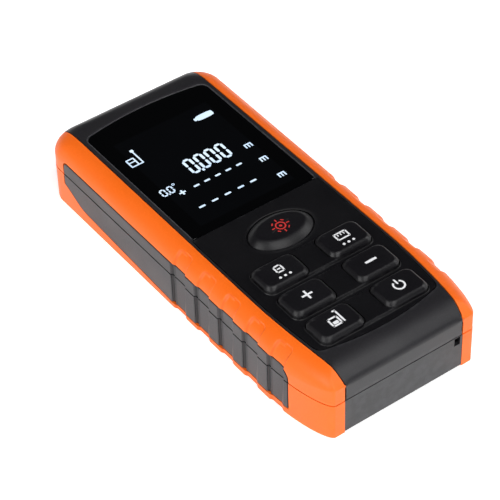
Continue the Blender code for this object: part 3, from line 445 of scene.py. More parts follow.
def panel_grooves(y):
    """Depth of the upright grooves across a side panel, as a soft-edged channel."""
    total = np.zeros(np.shape(y))
    for i in range(RIB_COUNT):
        off = np.abs(y - (FIRST_RIB_Y - RIB_PITCH * i)) / (GROOVE_WIDTH / 2)
        total = total + smooth_step(1.6 - off)
    return unit(total) * GROOVE_DEPTH


def wall(u, v, thickness, relief):
    """A closed piece of the case: the skin pressed in by the relief, and its inner side."""
    outer = skin(u, v)
    facing = normals(outer)
    outward = outer - (0.0, 0.0, FACE_Z / 2)
    outward[..., 1] *= 0.2
    facing = facing * np.sign((facing * outward).sum(axis=-1, keepdims=True).mean())
    depth = relief(outer[..., 1], outer[..., 2])[..., None]
    return slab(outer - facing * depth, outer - facing * thickness)


# ---------------------------------------------------------------- grips and side panels


def panel_low(y):
    """Height of a side panel's lower edge, with its corners softened by averaging."""
    reach = np.linspace(-2.0, 2.0, 9) * MM
    y = np.asarray(y, float)[..., None]
    return np.interp(y + reach, PANEL_EDGE_Y, PANEL_EDGE_Z).mean(axis=-1)


def panel_high(y):
    """Height of a side panel's upper edge, with its two rounded corners."""
    near_off = np.clip(PANEL_NEAR_Y + PANEL_CORNER - y, 0, PANEL_CORNER)
    far_off = np.clip(y - PANEL_FAR_Y + PANEL_FAR_CORNER, 0, PANEL_FAR_CORNER)
    near_drop = PANEL_CORNER - np.sqrt(positive(PANEL_CORNER**2 - near_off**2))
    far_drop = PANEL_FAR_CORNER - np.sqrt(positive(PANEL_FAR_CORNER**2 - far_off**2))
    return PANEL_HIGH_Z - near_drop - far_drop


def grip_line(middle, edge_z):
    """A grip's edge, as u and v: along the split line, round the panel by middle, and on."""
    start_u = (NEAR_END_HALF + GAP / 2) / (HALF_WIDTH - SIDE_TAPER - NEAR_CORNER_X)
    ends = np.linspace(3.0, 4.5, 3000)
    end_u = ends[np.argmin(np.abs(skin(ends, 0.5)[:, 0] - FACE_HALF - GAP / 2) + 10 * (ends > 4.2))]
    mid_u, mid_v = skin_at(middle[:, 0], middle[:, 1])
    before = np.linspace(start_u, mid_u[0], GRIP_BEFORE + 1)[:-1]
    after = np.linspace(mid_u[-1], end_u, GRIP_AFTER + 1)[1:]
    u = chain(before, mid_u, after)
    plain_v = (edge_z - BASE_CHAMFER) / (skin(u, 1.0)[:, 2] - BASE_CHAMFER)
    return u, chain(plain_v[:GRIP_BEFORE], mid_v, plain_v[-GRIP_AFTER:])


def fanned(u, keys):
    """The u of a grip's far edge: u itself, but spread evenly from key 0 to 1 and from key 2 to 3."""
    place = np.arange(len(u))
    spread = (place > keys[0]) & (place < keys[3]) & ((place < keys[1]) | (place > keys[2]))
    return np.where(spread, np.interp(place, keys, u[keys]), u)


def grip_front():
    """Right upper grip: from the split line or the panel's top edge, over the rail, to the border."""
    edge_z = SPLIT_Z + GAP / 2
    near = PANEL_NEAR_Y - GAP
    far = PANEL_FAR_Y + GAP
    high = PANEL_HIGH_Z + GAP
    near_arc = arc(near + PANEL_CORNER, high - PANEL_CORNER, PANEL_CORNER, 180, 90)
    far_arc = arc(far - PANEL_FAR_CORNER, high - PANEL_FAR_CORNER, PANEL_FAR_CORNER, 90, 0)
    top = np.linspace(near_arc[-1], far_arc[0], int((far_arc[0, 0] - near_arc[-1, 0]) / GRIP_STEP))
    rise = resample(chain([[near_arc[0, 0], edge_z]], near_arc), 30)
    fall = resample(chain(far_arc, [[far_arc[-1, 0], edge_z]]), 30)
    low_u, low_v = grip_line(chain(rise[:-1], top, fall[1:]), edge_z)
    last = len(low_u) - GRIP_AFTER
    high_u = fanned(low_u, [GRIP_BEFORE - 12, GRIP_BEFORE + 45, last - 45, last + 12])
    high_v = border_v(high_u, 1.0, 2.0, GAP / 2)
    share = np.linspace(0, 1, 60)[:, None]
    return wall(between(low_u, high_u, share), between(low_v, high_v, share), 1.3 * MM, recess)


def grip_back():
    """Right lower grip: from the split line or the panel's lower edge down and under the base."""
    edge_z = SPLIT_Z - GAP / 2
    near = PANEL_NEAR_Y - GAP
    far = PANEL_FAR_Y + GAP
    bottom_y = np.linspace(near, far, 450)
    bottom = join(bottom_y, panel_low(bottom_y) - GAP)
    down = np.linspace((near, edge_z), bottom[0], 34)
    up = np.linspace(bottom[-1], (far, edge_z), 24)
    top_u, top_v = grip_line(chain(down[:-1], bottom, up[1:]), edge_z)
    last = len(top_u) - GRIP_AFTER
    foot_u = fanned(top_u, [GRIP_BEFORE - 14, GRIP_BEFORE + len(down) - 1, last - len(up), last + 14])
    foot_v = border_v(foot_u, 0.0, -1.0, GAP)
    # The rows come down the wall to the base first, and then cross the underside.
    wall_part = 0.72
    share = chain(np.linspace(0, wall_part, 30), np.linspace(wall_part, 1, 14)[1:])[:, None]
    fall = unit(share / wall_part)
    under = unit((share - wall_part) / (1 - wall_part))
    v = between(top_v, 0.0, fall) + foot_v * under
    return wall(between(top_u, foot_u, fall), v, 1.2 * MM, lambda y, z: recess(y, z) - LOWER_PROUD)


def side_panel(upper):
    """Right side panel: upper, from the split line to its round-cornered top, or lower."""
    y = np.linspace(PANEL_NEAR_Y, PANEL_FAR_Y, 640)
    low = SPLIT_Z + GAP / 2 if upper else panel_low(y)
    high = panel_high(y) if upper else SPLIT_Z - GAP / 2
    # One more row of points close to the outline holds the painted shadow rim.
    count, place, extra = (12, -1, 0.965) if upper else (26, 1, 0.018)
    share = np.insert(np.linspace(0, 1, count), place, extra)
    z = between(low, high, share[:, None])
    u, v = skin_at(np.broadcast_to(y, z.shape), z)
    proud = 0.0 if upper else LOWER_PROUD
    return wall(u, v, 1.4 * MM, lambda y, z: np.maximum(recess(y, z), panel_grooves(y)) - proud)


# ---------------------------------------------------------------- faces of the front shell


def mat_side(y, extra):
    return border_half(y) - MAT_INSET + extra


def mat_near_path(extra):
    """Right half of the keypad's near edge: an arc, then a round corner, as (x, y)."""
    corner_y = MAT_NEAR_Y + MAT_ARC
    half = border_half(corner_y) - MAT_INSET - MAT_CORNER
    x = np.linspace(0, half, 30)
    edge = join(x, MAT_NEAR_Y + MAT_ARC * (x / x[-1]) ** 2 - extra)
    return edge, arc(half, corner_y + MAT_CORNER, MAT_CORNER + extra, -90, 0)


def window_path(extra):
    """Right side of the window, its round far corner and its shallow far arc, as (x, y)."""
    half = WINDOW_HIGH[0] + extra
    shoulder = WINDOW_HIGH[1] - WINDOW_ARC + extra - WINDOW_CORNER
    side = np.array([(half, WINDOW_LOW[1] - extra), (half, shoulder)])
    x = np.linspace(half - WINDOW_CORNER, 0, 30)
    far = join(x, WINDOW_HIGH[1] + extra - WINDOW_ARC * (x / x[0]) ** 2)
    return side, arc(half - WINDOW_CORNER, shoulder, WINDOW_CORNER, 0, 90), far


def window_loop(extra, counts):
    """The whole window outline grown by extra, with set numbers of points on its three far parts."""
    side, corner, far = window_path(extra)
    near = join(np.linspace(0, side[0, 0], 20), WINDOW_LOW[1] - extra)
    parts = [resample(part, count)[1:] for part, count in zip((side, corner, far), counts)]
    return mirror_path(chain(near, *parts))


def front_face():
    """The black cover face: a closed ring from the face opening out over the ends to the split line.

    Each column runs from the opening's edge to the border; its heights follow the case skin,
    rounded over the near end, and its profile closes down the end walls, along the underside
    and up the opening.
    """
    near_edge, near_corner = mat_near_path(GAP)
    side, far_corner, far_edge = window_path(GAP)
    edge_half = NEAR_END_HALF - GAP / 2
    face_half = FACE_HALF - GAP / 2
    mat_y = np.linspace(near_corner[-1, 1], MAT_FAR_Y, 120)
    border_y = np.linspace(NEAR_Y, near_corner[-1, 1], 60)
    window_line = np.linspace((side[0, 0], WINDOW_LOW[1]), side[1], 110)
    inner = [
        resample(near_edge, 60),
        resample(near_corner, 60),
        join(mat_side(mat_y, GAP), mat_y),
        window_line,
        resample(far_corner, 40),
        resample(far_edge, 60),
    ]
    outer = chain(
        join(np.linspace(0, edge_half, 60), NEAR_Y),
        join(border_half(border_y) - GAP / 2, border_y),
        join(border_half(mat_y) - GAP / 2, mat_y),
        join(face_half, window_line[:, 1]),
        join(face_half, np.linspace(side[1, 1], FAR_Y, 40)),
        join(np.linspace(face_half, 0, 60), FAR_Y),
    )
    part = np.repeat(np.arange(len(inner)), [len(piece) for piece in inner])
    near_end = part == 0
    far_end = part == len(inner) - 1
    inner = chain(*inner)
    inner[far_end, 0] = positive(inner[far_end, 0])
    past = positive(outer[:, 0] - HALF_WIDTH + FAR_CORNER)
    outer[:, 1] = np.minimum(outer[:, 1], FAR_Y - FAR_CORNER + np.sqrt(positive(FAR_CORNER**2 - past**2)))

    share = np.sin(np.linspace(0, QUARTER, 40))[:, None, None]
    top = between(inner, outer, share)
    over_end = unit(1 - (top[..., 1] - NEAR_Y) / CREASE_ROUND)
    held = smooth_step((edge_half - np.abs(top[..., 0])) / CREASE_FADE)
    height = face_height(top[..., 0], top[..., 1])
    height = height - CREASE_DROP * (1 - np.sqrt(unit(1 - over_end**2))) * held

    rim = height[-1]
    split_z = SPLIT_Z + GAP / 2
    bezel_half, _, bezel_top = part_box("front_bezel")[1]
    over_bezel = outer[:, 0] < bezel_half + GAP
    low = np.where(near_end, split_z, rim - 1.5 * MM)
    low = np.where(far_end, np.where(over_bezel, bezel_top + GAP, split_z), low)
    low = np.minimum(low, rim - 0.2 * MM)
    skirt_z = between(rim, low, np.linspace(0, 1, 8)[1:, None])
    deep = np.full(len(inner), FACE_Z - 1.6 * MM)
    back = between(inner, outer, 0.72)
    back_z = np.minimum(deep, face_height(back[:, 0], back[:, 1]) - 1.2 * MM)
    rows_xy = chain(top, np.broadcast_to(outer, (7,) + outer.shape), [back, back, inner])
    right = level(rows_xy, chain(height, skirt_z, [low, np.maximum(back_z, low), deep]))
    left = right[:, ::-1] * (-1, 1, 1)
    return closed_grid(np.concatenate([right, left[:, 1:-1]], axis=1))


# ---------------------------------------------------------------- sheets with holes


def rounded_side_loop(cx, cy, half_x, half_y, corner, across, along):
    """A rounded rectangle from its lower left corner, with set numbers of points per side."""
    signs = ((-1, -1), (1, -1), (1, 1), (-1, 1), (-1, -1))
    flat_x = half_x - corner
    flat_y = half_y - corner
    lines = []
    for k, count in enumerate((across, along, across, along)):
        angle = -90 + 90 * k
        (ax, ay), (bx, by) = signs[k : k + 2]
        first = arc(cx + ax * flat_x, cy + ay * flat_y, corner, angle - 45, angle, 8)
        last = arc(cx + bx * flat_x, cy + by * flat_y, corner, angle, angle + 45, 8)
        lines.append(resample(chain(first, last), count + 1)[:-1])
    return chain(*lines)


def ellipse_loop(cx, cy, half_x, half_y, across, along):
    """An ellipse from its lower left, with set numbers of points per quarter."""
    lines = []
    for k, count in enumerate((across, along, across, along)):
        turn = np.radians(np.linspace(-135 + 90 * k, -45 + 90 * k, 40))
        path = join(cx + half_x * np.cos(turn), cy + half_y * np.sin(turn))
        lines.append(resample(path, count + 1)[:-1])
    return chain(*lines)


def box_of(name):
    """A frame node's low and high corners and its centre."""
    low, high = (np.array(corner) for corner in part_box(name))
    return low, high, (low + high) / 2


# Centre and half size of each key cap.
KEYS = {name: (box_of(name)[2], (box_of(name)[1] - box_of(name)[0]) / 2) for name in KEY_NAMES}


def pierced_sheet(side, near_path, far_y, hole, height, depth, rows=22):
    """A sheet tiled with one cell round each key: each cell runs from its hole to its edges."""
    across, along = 44, 34
    near_edge, near_corner = near_path
    row_y = [KEYS[name][0][1] for name in RIGHT_KEYS]
    lines = [round(y, 6) + (round(row_y[1], 6) - round(row_y[0], 6)) / 2 for y in row_y]
    shapes = []
    share = np.linspace(0, 1, rows)[:, None, None] ** 1.25

    def add(inner, outer):
        top = between(inner, outer, share)
        upper = level(top, height(top[..., 0], top[..., 1]))
        count, sides = upper.shape[:2]
        below = count * sides
        faces = grid_faces(count, sides, wrap_columns=True)
        faces += [f[::-1] for f in grid_faces(count, sides, wrap_columns=True, start=below)]
        step = np.arange(sides)
        after = (step + 1) % sides
        faces += join(step, after, after + below, step + below).tolist()
        shapes.append((chain(upper.reshape(-1, 3), level(top, depth).reshape(-1, 3)), faces))

    outline = []
    for row, name in enumerate(RIGHT_KEYS):
        high = lines[row]
        if row == 0:
            start = near_edge[0, 1]
            bottom = resample(chain(near_edge, near_corner[:6]), across + 1)[:-1]
            lift = np.linspace(near_corner[-1, 1], high, 40)[1:]
            rise = chain(near_corner[5:], join(side(lift), lift))
            outline.append(bottom)
        else:
            start = lines[row - 1]
            bottom = join(np.linspace(0, side(start), across + 1)[:-1], start)
            lift = np.linspace(start, high, 40)
            rise = join(side(lift), lift)
        rise = resample(rise, along + 1)[:-1]
        top = join(np.linspace(side(high), 0, across + 1)[:-1], high)
        fall = join(0.0, np.linspace(high, start, along + 1)[:-1])
        outer = chain(bottom, rise, top, fall)
        inner = hole(name, across, along)
        add(inner, outer)
        add(inner[::-1] * (-1, 1), outer[::-1] * (-1, 1))
        outline.append(rise)
    low = lines[2]
    lift = np.linspace(low, far_y, along + 1)
    rise = join(side(lift), lift)
    bottom = join(np.linspace(-side(low), side(low), 2 * across + 1)[:-1], low)
    top = join(np.linspace(side(far_y), -side(far_y), 2 * across + 1)[:-1], far_y)
    fall = join(-side(lift[::-1]), lift[::-1])[:-1]
    add(hole("key_laser", 2 * across, along), chain(bottom, rise[:-1], top, fall))
    right = chain(*outline, rise[:-1], [[side(far_y), far_y]])
    rim = chain(right, top[1:], right[::-1] * (-1, 1))[:-1]
    shapes.append(tube([level(rim, height(rim[:, 0], rim[:, 1])), level(rim, depth)]))
    return together(shapes)


def cap_hole(extra, stem=False):
    """A function giving the hole of a key: its cap's or its stem's outline, grown by extra."""

    def hole(name, across, along):
        centre, half = KEYS[name]
        oval = name == "key_laser"
        size = (OVAL_STEM if oval else CAP_STEM) if stem else half
        grown = (centre[0], centre[1], size[0] + extra, size[1] + extra)
        if oval:
            return ellipse_loop(*grown, across, along)
        return rounded_side_loop(*grown, (0.8 * MM if stem else KEY_CORNER) + extra, across, along)

    return hole


def mat_height(x, y):
    """The mat's top: flat, with a low rounded bar under each pair of keys and a soft swell round the oval."""
    z = np.full(np.shape(x), FACE_Z)
    reach = KEYS["key_units"][0][0] + KEYS["key_units"][1][0] + BAR_MARGIN
    corner = KEY_CORNER + BAR_MARGIN
    for name in RIGHT_KEYS:
        centre, half = KEYS[name]
        off_x = positive(np.abs(x) - (reach - corner))
        off_y = positive(np.abs(y - centre[1]) - (half[1] + BAR_MARGIN - corner))
        bank = smooth_step((corner - np.hypot(off_x, off_y)) / (0.55 * MM))
        z = np.maximum(z, FACE_Z + BAR_HEIGHT * bank)
    centre, half = KEYS["key_laser"]
    ring = np.hypot(x / half[0], (y - centre[1]) / half[1]) - 1
    return z + 0.25 * MM * smooth_step(1 - ring * half[1] / MM) * (z <= FACE_Z + 1e-7)


# ---------------------------------------------------------------- keys


def key_shape(name):
    """A key as stacked rings: stem, flange, stem, cap wall, sloped skirt and softly domed top."""
    centre, half = KEYS[name]
    oval = name == "key_laser"
    stem = OVAL_STEM if oval else CAP_STEM
    flange = (stem[0] + 0.6 * MM, stem[1] + 0.6 * MM)
    flange_high = FACE_Z - 2.4 * MM - GAP
    flange_low = flange_high - 0.6 * MM
    cap_low = FACE_Z - 0.45 * MM
    skirt_z = FACE_Z + (0.05 * MM if oval else BAR_HEIGHT + 0.05 * MM)
    inset = 2.4 * MM if oval else 1.1 * MM
    rise = KEY_TOP_Z - skirt_z
    skirt_share = 0.985
    levels = [(stem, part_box(name)[0][2]), (stem, flange_low), (flange, flange_low), (flange, flange_high)]
    levels += [(stem, flange_high), (stem, cap_low), (half[:2], cap_low), (half[:2], skirt_z - 0.1 * MM)]
    turn = np.linspace(0, 1, 14)
    climb = rise * (1 - (1 - turn) ** (1.5 if oval else 1.7))
    for inward, up in zip(inset * turn, climb):
        levels.append((half[:2] - inward, skirt_z + up * skirt_share))
    for shrink in (0.93, 0.8, 0.6, 0.4, 0.2, 0.05):
        dome = rise * (skirt_share + (1 - skirt_share) * (1 - shrink**2))
        levels.append(((half[:2] - inset) * shrink, skirt_z + dome))
    rings = []
    for (half_x, half_y), z in levels:
        if oval:
            loop = ellipse_loop(centre[0], centre[1], half_x, half_y, 32, 32)
        else:
            corner = min(KEY_CORNER, half_y * 0.5, half_x * 0.5)
            loop = rounded_side_loop(centre[0], centre[1], half_x, half_y, corner, 32, 24)
        rings.append(level(loop, z))
    return loft(rings)


# ---------------------------------------------------------------- flat marks: icons and display


def bar(x, y, width, height, turn=0.0, corner=0.25):
    """A short bar with softened corners, as an outline about its centre; sizes in mm."""
    loop = rounded_side_loop(0, 0, width / 2, height / 2, min(width, height) * corner, 4, 4)
    angle = math.radians(turn)
    rotate = np.array([[math.cos(angle), math.sin(angle)], [-math.sin(angle), math.cos(angle)]])
    return loop @ rotate + (x, y)


def bars(*rows):
    """Several plain bars, each from its x, y, width and height."""
    return [bar(*row) for row in rows]


def cross(x, y, length, thick):
    """A plus sign as one outline, star-shaped about its centre."""
    far = length / 2
    near = thick / 2
    quarter = [(far, -near), (far, near), (near, near)]
    corners = []
    for _ in range(4):
        corners += quarter
        quarter = [(-b, a) for a, b in quarter]
    return np.array(corners) + (x, y)


def hoop(x, y, radius, thick, first=0.0, last=360.0, count=40):
    """A band along an arc as a row of touching quads."""
    outer = arc(x, y, radius + thick / 2, first, last, count)
    inner = arc(x, y, radius - thick / 2, first, last, count)
    return list(np.stack([inner[:-1], outer[:-1], outer[1:], inner[1:]], axis=1))


def marks(outlines, origin, low, high):
    """Outlines in mm about an origin, raised between two heights as one shape."""
    placed = [np.asarray(outline, float) * MM + origin for outline in outlines]
    return together([loft([level(outline, low), level(outline, high)]) for outline in placed])


def nought(x, y, width, height, thick):
    """A nought from six pointed segments; x, y is its centre."""
    tip = thick / 2
    gap = thick * 0.12
    half_w = width / 2 - tip
    half_h = height / 2 - tip
    places = ((0, 1), (1, 0.5), (1, -0.5), (0, -1), (-1, -0.5), (-1, 0.5))
    found = []
    for across, up in places:
        length = half_h / 2 - gap if across else half_w - gap
        side = length - tip
        shape = np.array([(-length, 0), (-side, -tip), (side, -tip), (length, 0), (side, tip), (-side, tip)])
        if across:
            shape = shape[:, ::-1] * (-1, 1)
        found.append(shape + (x + across * half_w, y + up * half_h))
    return found


def letter_m(x, y, width, height, thick):
    """The metre sign: three stems under one bar with softened corners."""
    found = [bar(x, y + height / 2 - thick / 2, width, thick)]
    for off in (-width / 2 + thick / 2, 0, width / 2 - thick / 2):
        found.append(bar(x + off, y - thick * 0.1, thick, height - thick * 0.2))
    return found


def display_marks():
    """Everything that the screen shows, in mm from the middle of the meter."""
    found = []
    for x in (-3.25, 0.1, 3.4, 6.75):
        found += nought(x, 23.9, 2.7, 6.3, 0.74)
    found.append(bar(-1.58, 20.9, 0.72, 0.9))
    for y in (21.5, 14.8, 7.0):
        found += letter_m(13.2, y, 2.2, 1.7, 0.42)
    found += [bar(x, 16.9, 1.7, 0.62) for x in (-6.6, -3.3, 0.1, 3.4, 6.8)]
    found += [bar(x, 9.5, 1.9, 0.62) for x in (-10.1, -6.1, -2.1, 2.0, 5.9)]
    found.append(cross(-11.0, 16.9, 1.9, 0.5))
    for x in (-15.0, -12.8):
        found += nought(x, 19.6, 1.7, 2.9, 0.45)
    found.append(bar(-13.9, 18.3, 0.42, 0.42))
    found += hoop(-11.2, 20.9, 0.32, 0.22, count=13)
    # Battery: a filled body with a narrow tip.
    found += [bar(11.3, 38.5, 5.2, 2.1, corner=0.3), bar(8.4, 38.5, 0.9, 1.1)]
    # Device and its beam: a small case with a line beside it.
    found += bars((-15.6, 34.3, 0.42, 3.3), (-13.5, 34.3, 0.42, 3.3), (-14.55, 35.8, 2.4, 0.42))
    found += bars((-14.55, 32.8, 2.4, 0.42), (-14.55, 34.5, 2.2, 0.38))
    found += bars((-12.2, 35.6, 0.42, 5.8), (-12.7, 32.8, 1.3, 0.42), (-12.2, 38.3, 1.0, 1.0))
    return found


def key_icons():
    """Generic signs for each key, in mm from the key's centre."""
    box = bars((-1.0, 0.5, 0.45, 2.6), (1.0, 0.5, 0.45, 2.6), (0, 1.6, 2.4, 0.45), (0, -0.6, 2.4, 0.45))
    dots = [bar(x, -2.3, 0.75, 0.75, corner=0.45) for x in (-1.5, 0, 1.5)]
    sides = ((-1.6, -0.4, 0.5, 3.0), (0.9, -0.4, 0.5, 3.0))
    case = bars(*sides, (-0.35, 0.9, 2.9, 0.5), (-0.35, -1.7, 2.9, 0.5))
    case += [bar(-0.35, -0.8, 1.5, 1.0, corner=0.1)] + bars((1.75, 0.5, 0.5, 4.4), (1.45, 2.6, 1.0, 0.5))
    ruler = bars((0, 1.7, 3.8, 0.45), (0, -0.5, 3.8, 0.45), (-1.75, 0.6, 0.45, 2.4), (1.75, 0.6, 0.45, 2.4))
    ruler += [bar(x, 1.15, 0.3, 1.0) for x in (-0.9, 0, 0.9)]
    beam = hoop(0, 0, 1.25, 0.38, count=30) + [bar(0, 0, 0.8, 0.8, corner=0.45)]
    for turn in range(0, 360, 45):
        ray = 2.15 * np.array([math.cos(math.radians(turn)), math.sin(math.radians(turn))])
        beam.append(bar(*ray, 0.9, 0.36, -turn))
    return {
        "key_menu": box + dots + [bar(0, 0.5, 1.0, 0.45)],
        "key_plus": [cross(0, 0, 3.1, 0.56)],
        "key_reference": case,
        "key_units": ruler + dots,
        "key_minus": [bar(0, 0, 3.4, 0.75)],
        "key_clear": hoop(0, 0, 1.45, 0.5, 125, 415, 30) + [bar(0, 1.3, 0.5, 1.8)],
        "key_laser": beam,
    }


# ---------------------------------------------------------------- materials


def put(tree, socket, value):
    """Links a socket to the value if that is another socket, and otherwise sets it."""
    if isinstance(value, bpy.types.NodeSocket):
        tree.links.new(value, socket)
    else:
        socket.default_value = value


def add_node(tree, kind, inputs=None, **settings):
    made = tree.nodes.new(kind)
    for key, value in settings.items():
        setattr(made, key, value)
    for key, value in (inputs or {}).items():
        put(tree, made.inputs[key], value)
    return made


def math_node(tree, operation, *values):
    return add_node(tree, "ShaderNodeMath", dict(enumerate(values)), operation=operation).outputs[0]


def times(tree, first, second):
    return math_node(tree, "MULTIPLY", first, second)


def mix_colour(tree, factor, first, second):
    """A colour between two; three numbers stand for a plain colour."""
    first, second = (c if isinstance(c, bpy.types.NodeSocket) else (*c, 1.0) for c in (first, second))
    return add_node(tree, "ShaderNodeMix", {0: factor, 6: first, 7: second}, data_type="RGBA").outputs[2]


def stretch(tree, value, low, high, new_low=0.0, new_high=1.0):
    inputs = {0: value, 1: low, 2: high, 3: new_low, 4: new_high}
    return add_node(tree, "ShaderNodeMapRange", inputs, interpolation_type="SMOOTHSTEP").outputs[0]


def object_place(tree, scale=None, turn=0.0):
    """Object coordinates, stretched by scale and turned about Z where they are given."""
    place = tree.nodes.new("ShaderNodeTexCoord").outputs["Object"]
    if not scale:
        return place
    inputs = {"Vector": place, "Scale": scale, "Rotation": (0, 0, turn)}
    return add_node(tree, "ShaderNodeMapping", inputs).outputs[0]


def noise(tree, scale, detail=2.0, roughness=0.5, place=None):
    inputs = {"Vector": place or object_place(tree), "Scale": scale, "Detail": detail, "Roughness": roughness}
    return add_node(tree, "ShaderNodeTexNoise", inputs).outputs[0]


def new_group(name, inputs, outputs):
    tree = bpy.data.node_groups.new(name, "ShaderNodeTree")
    for label, value in inputs.items():
        socket = tree.interface.new_socket(label, in_out="INPUT", socket_type="NodeSocketFloat")
        socket.default_value = value
    for label in outputs:
        tree.interface.new_socket(label, in_out="OUTPUT", socket_type="NodeSocketFloat")
    return tree, tree.nodes.new("NodeGroupInput").outputs, tree.nodes.new("NodeGroupOutput").inputs


def make_grain_group():
    """Spark-eroded mould grain: fine noise with small pits; height in metres."""
    tree, given, result = new_group("mould_grain", {"Size": 0.4, "Depth": 0.01}, ["Height", "Speckle"])
    scale = math_node(tree, "DIVIDE", 1000.0, given["Size"])
    inputs = {"Vector": object_place(tree), "Scale": scale}
    pits = add_node(tree, "ShaderNodeTexVoronoi", inputs, feature="SMOOTH_F1").outputs["Distance"]
    both = math_node(tree, "ADD", noise(tree, scale, 2.0, 0.6), times(tree, pits, 0.6))
    put(tree, result["Height"], times(tree, both, times(tree, given["Depth"], MM)))
    put(tree, result["Speckle"], stretch(tree, both, 0.55, 1.1))
    return tree


def make_handling_group():
    """Handling: broad soft smudges and a few fine scuffs, each as a 0..1 mask."""
    tree, given, result = new_group("handling", {"Size": 20.0}, ["Smudge", "Scuff"])
    smudge = noise(tree, math_node(tree, "DIVIDE", 1000.0, given["Size"]), 3.0, 0.55)
    put(tree, result["Smudge"], stretch(tree, smudge, 0.35, 0.7))
    scuff = noise(tree, 160.0, 5.0, 0.7, object_place(tree, (1.0, 9.0, 2.0), 0.6))
    put(tree, result["Scuff"], stretch(tree, scuff, 0.66, 0.76))
    return tree


def make_edge_group():
    """Edge wear: the mesh's outward edges, broken up by noise, as a 0..1 mask."""
    tree, given, result = new_group("edge_wear", {"Amount": 0.5}, ["Mask"])
    point = tree.nodes.new("ShaderNodeNewGeometry").outputs["Pointiness"]
    edge = stretch(tree, point, 0.51, 0.56)
    broken = stretch(tree, noise(tree, 420.0, 3.0, 0.6), 0.35, 0.65)
    put(tree, result["Mask"], times(tree, times(tree, edge, broken), given["Amount"]))
    return tree


GRAIN = make_grain_group()
HANDLING = make_handling_group()
EDGE = make_edge_group()


def use_group(tree, group, **values):
    made = add_node(tree, "ShaderNodeGroup", node_tree=group)
    for key, value in values.items():
        made.inputs[key].default_value = value
    return made.outputs


def smudged(tree, size, low, high):
    """A roughness that wanders from low to high with the smudges of handling."""
    return stretch(tree, use_group(tree, HANDLING, Size=size)["Smudge"], 0, 1, low, high)


def new_material(name):
    material = bpy.data.materials.new(name)
    material.use_nodes = True
    tree = material.node_tree
    return material, tree, tree.nodes["Principled BSDF"]


def dress(material, **sockets):
    """Sets or links the shader's sockets by name, with _ for a space; height goes through a bump."""
    tree = material.node_tree
    shader = tree.nodes["Principled BSDF"]
    height = sockets.pop("height", None)
    if height:
        sockets["Normal"] = add_node(tree, "ShaderNodeBump", {"Height": height, "Distance": 1.0}).outputs[0]
    for key, value in sockets.items():
        put(tree, shader.inputs[key.replace("_", " ")], value)
    return material


def moulded(
    name, colour, roughness, grain=0.4, depth=0.01, tone=0.12, wear=None, relief=None, **shader
):
    """Moulded plastic or rubber: base colour with speckle, smudges and edge wear, painted shade from a stored
    relief mask, and a grain bump.
    """
    material, tree, _ = new_material(name)
    grain_node = use_group(tree, GRAIN, Size=grain, Depth=depth)
    hand = use_group(tree, HANDLING, Size=22.0)
    spread = 0.04
    light = [min(c * (1 + tone) + 0.002, 1.0) for c in colour]
    dark = [c * (1 - tone) for c in colour]
    base = mix_colour(tree, grain_node["Speckle"], dark, light)
    base = mix_colour(tree, times(tree, hand["Smudge"], 0.25), base, [c * 0.92 for c in colour])
    if wear:
        base = mix_colour(tree, use_group(tree, EDGE, Amount=0.6)["Mask"], base, wear)
    # Painted shade: where the stored relief mask is high, the colour is darkened towards the relief colour.
    if relief:
        mask = add_node(tree, "ShaderNodeAttribute", attribute_name="relief").outputs["Fac"]
        base = mix_colour(tree, mask, base, relief)
    rough = stretch(tree, hand["Smudge"], 0.0, 1.0, roughness + spread, roughness - spread)
    rough = math_node(tree, "ADD", rough, times(tree, hand["Scuff"], 0.03))
    return dress(material, Base_Color=base, Roughness=rough, height=grain_node["Height"], **shader)


def make_window_material():
    """Hard-coated black window: the display's field shows faintly through the dark glass."""
    material, tree, _ = new_material("window_gloss")
    split = add_node(tree, "ShaderNodeSeparateXYZ", {0: object_place(tree)}).outputs
    low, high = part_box("lcd_panel")
    inner = high[0] - 2.4 * MM
    soft = 0.25 * MM
    side = stretch(tree, math_node(tree, "ABSOLUTE", split[0]), inner, inner + soft, 1.0, 0.0)
    near = stretch(tree, split[1], low[1], low[1] + soft)
    far = stretch(tree, split[1], high[1] - 1.4 * MM, high[1] - 1.4 * MM + soft, 1.0, 0.0)
    mottle = stretch(tree, noise(tree, 60.0, 2.0), 0.3, 0.7, 0.75, 1.0)
    field = times(tree, times(tree, times(tree, side, near), far), mottle)
    base = mix_colour(tree, field, (0.0006, 0.0007, 0.001), (0.0016, 0.0019, 0.0026))
    return dress(material, Base_Color=base, Roughness=smudged(tree, 14.0, 0.05, 0.09), IOR=1.5)


def make_display_material():
    """Lit display segments: blue-white, a little uneven as a real backlight is."""
    material, tree, _ = new_material("display_segments")
    cloud = stretch(tree, noise(tree, 90.0, 2.0), 0.3, 0.7)
    glow = mix_colour(tree, cloud, (0.58, 0.77, 1.0), (0.76, 0.90, 1.0))
    dress(material, Emission_Color=glow, Emission_Strength=1.1)
    return dress(material, Base_Color=(0.05, 0.06, 0.08, 1), Roughness=0.2)


CASE = moulded(
    "case_plastic", (0.019, 0.0182, 0.0208), 0.35, 0.35, 0.006, wear=(0.04, 0.04, 0.044),
    Specular_IOR_Level=0.46,
)
# The side panel's relief colour is painted shade: near black in the groove floors and in a painted shadow rim
# round the panel.
PANEL = moulded(
    "case_side_plastic", (0.043, 0.037, 0.0405), 0.42, 0.4, 0.01, wear=(0.07, 0.065, 0.07),
    relief=(0.006, 0.005, 0.006),
)
# The grip's relief colour is painted shade: a darker orange laid on the walls of the finger recesses.
ORANGE = moulded(
    "grip_rubber", (1.0, 0.158, 0.009), 0.42, 0.5, 0.008, tone=0.03, relief=(0.66, 0.075, 0.005),
    wear=(1.0, 0.19, 0.022), Specular_IOR_Level=0.32,
)
MAT = moulded(
    "keypad_rubber", (0.0050, 0.0048, 0.0060), 0.37, 0.3, 0.006, tone=0.2, wear=(0.02, 0.02, 0.022),
    Specular_IOR_Level=0.3,
)
KEY = moulded(
    "key_rubber", (0.0062, 0.0058, 0.0074), 0.36, 0.3, 0.005, tone=0.2, wear=(0.05, 0.05, 0.052),
    Specular_IOR_Level=0.27,
)
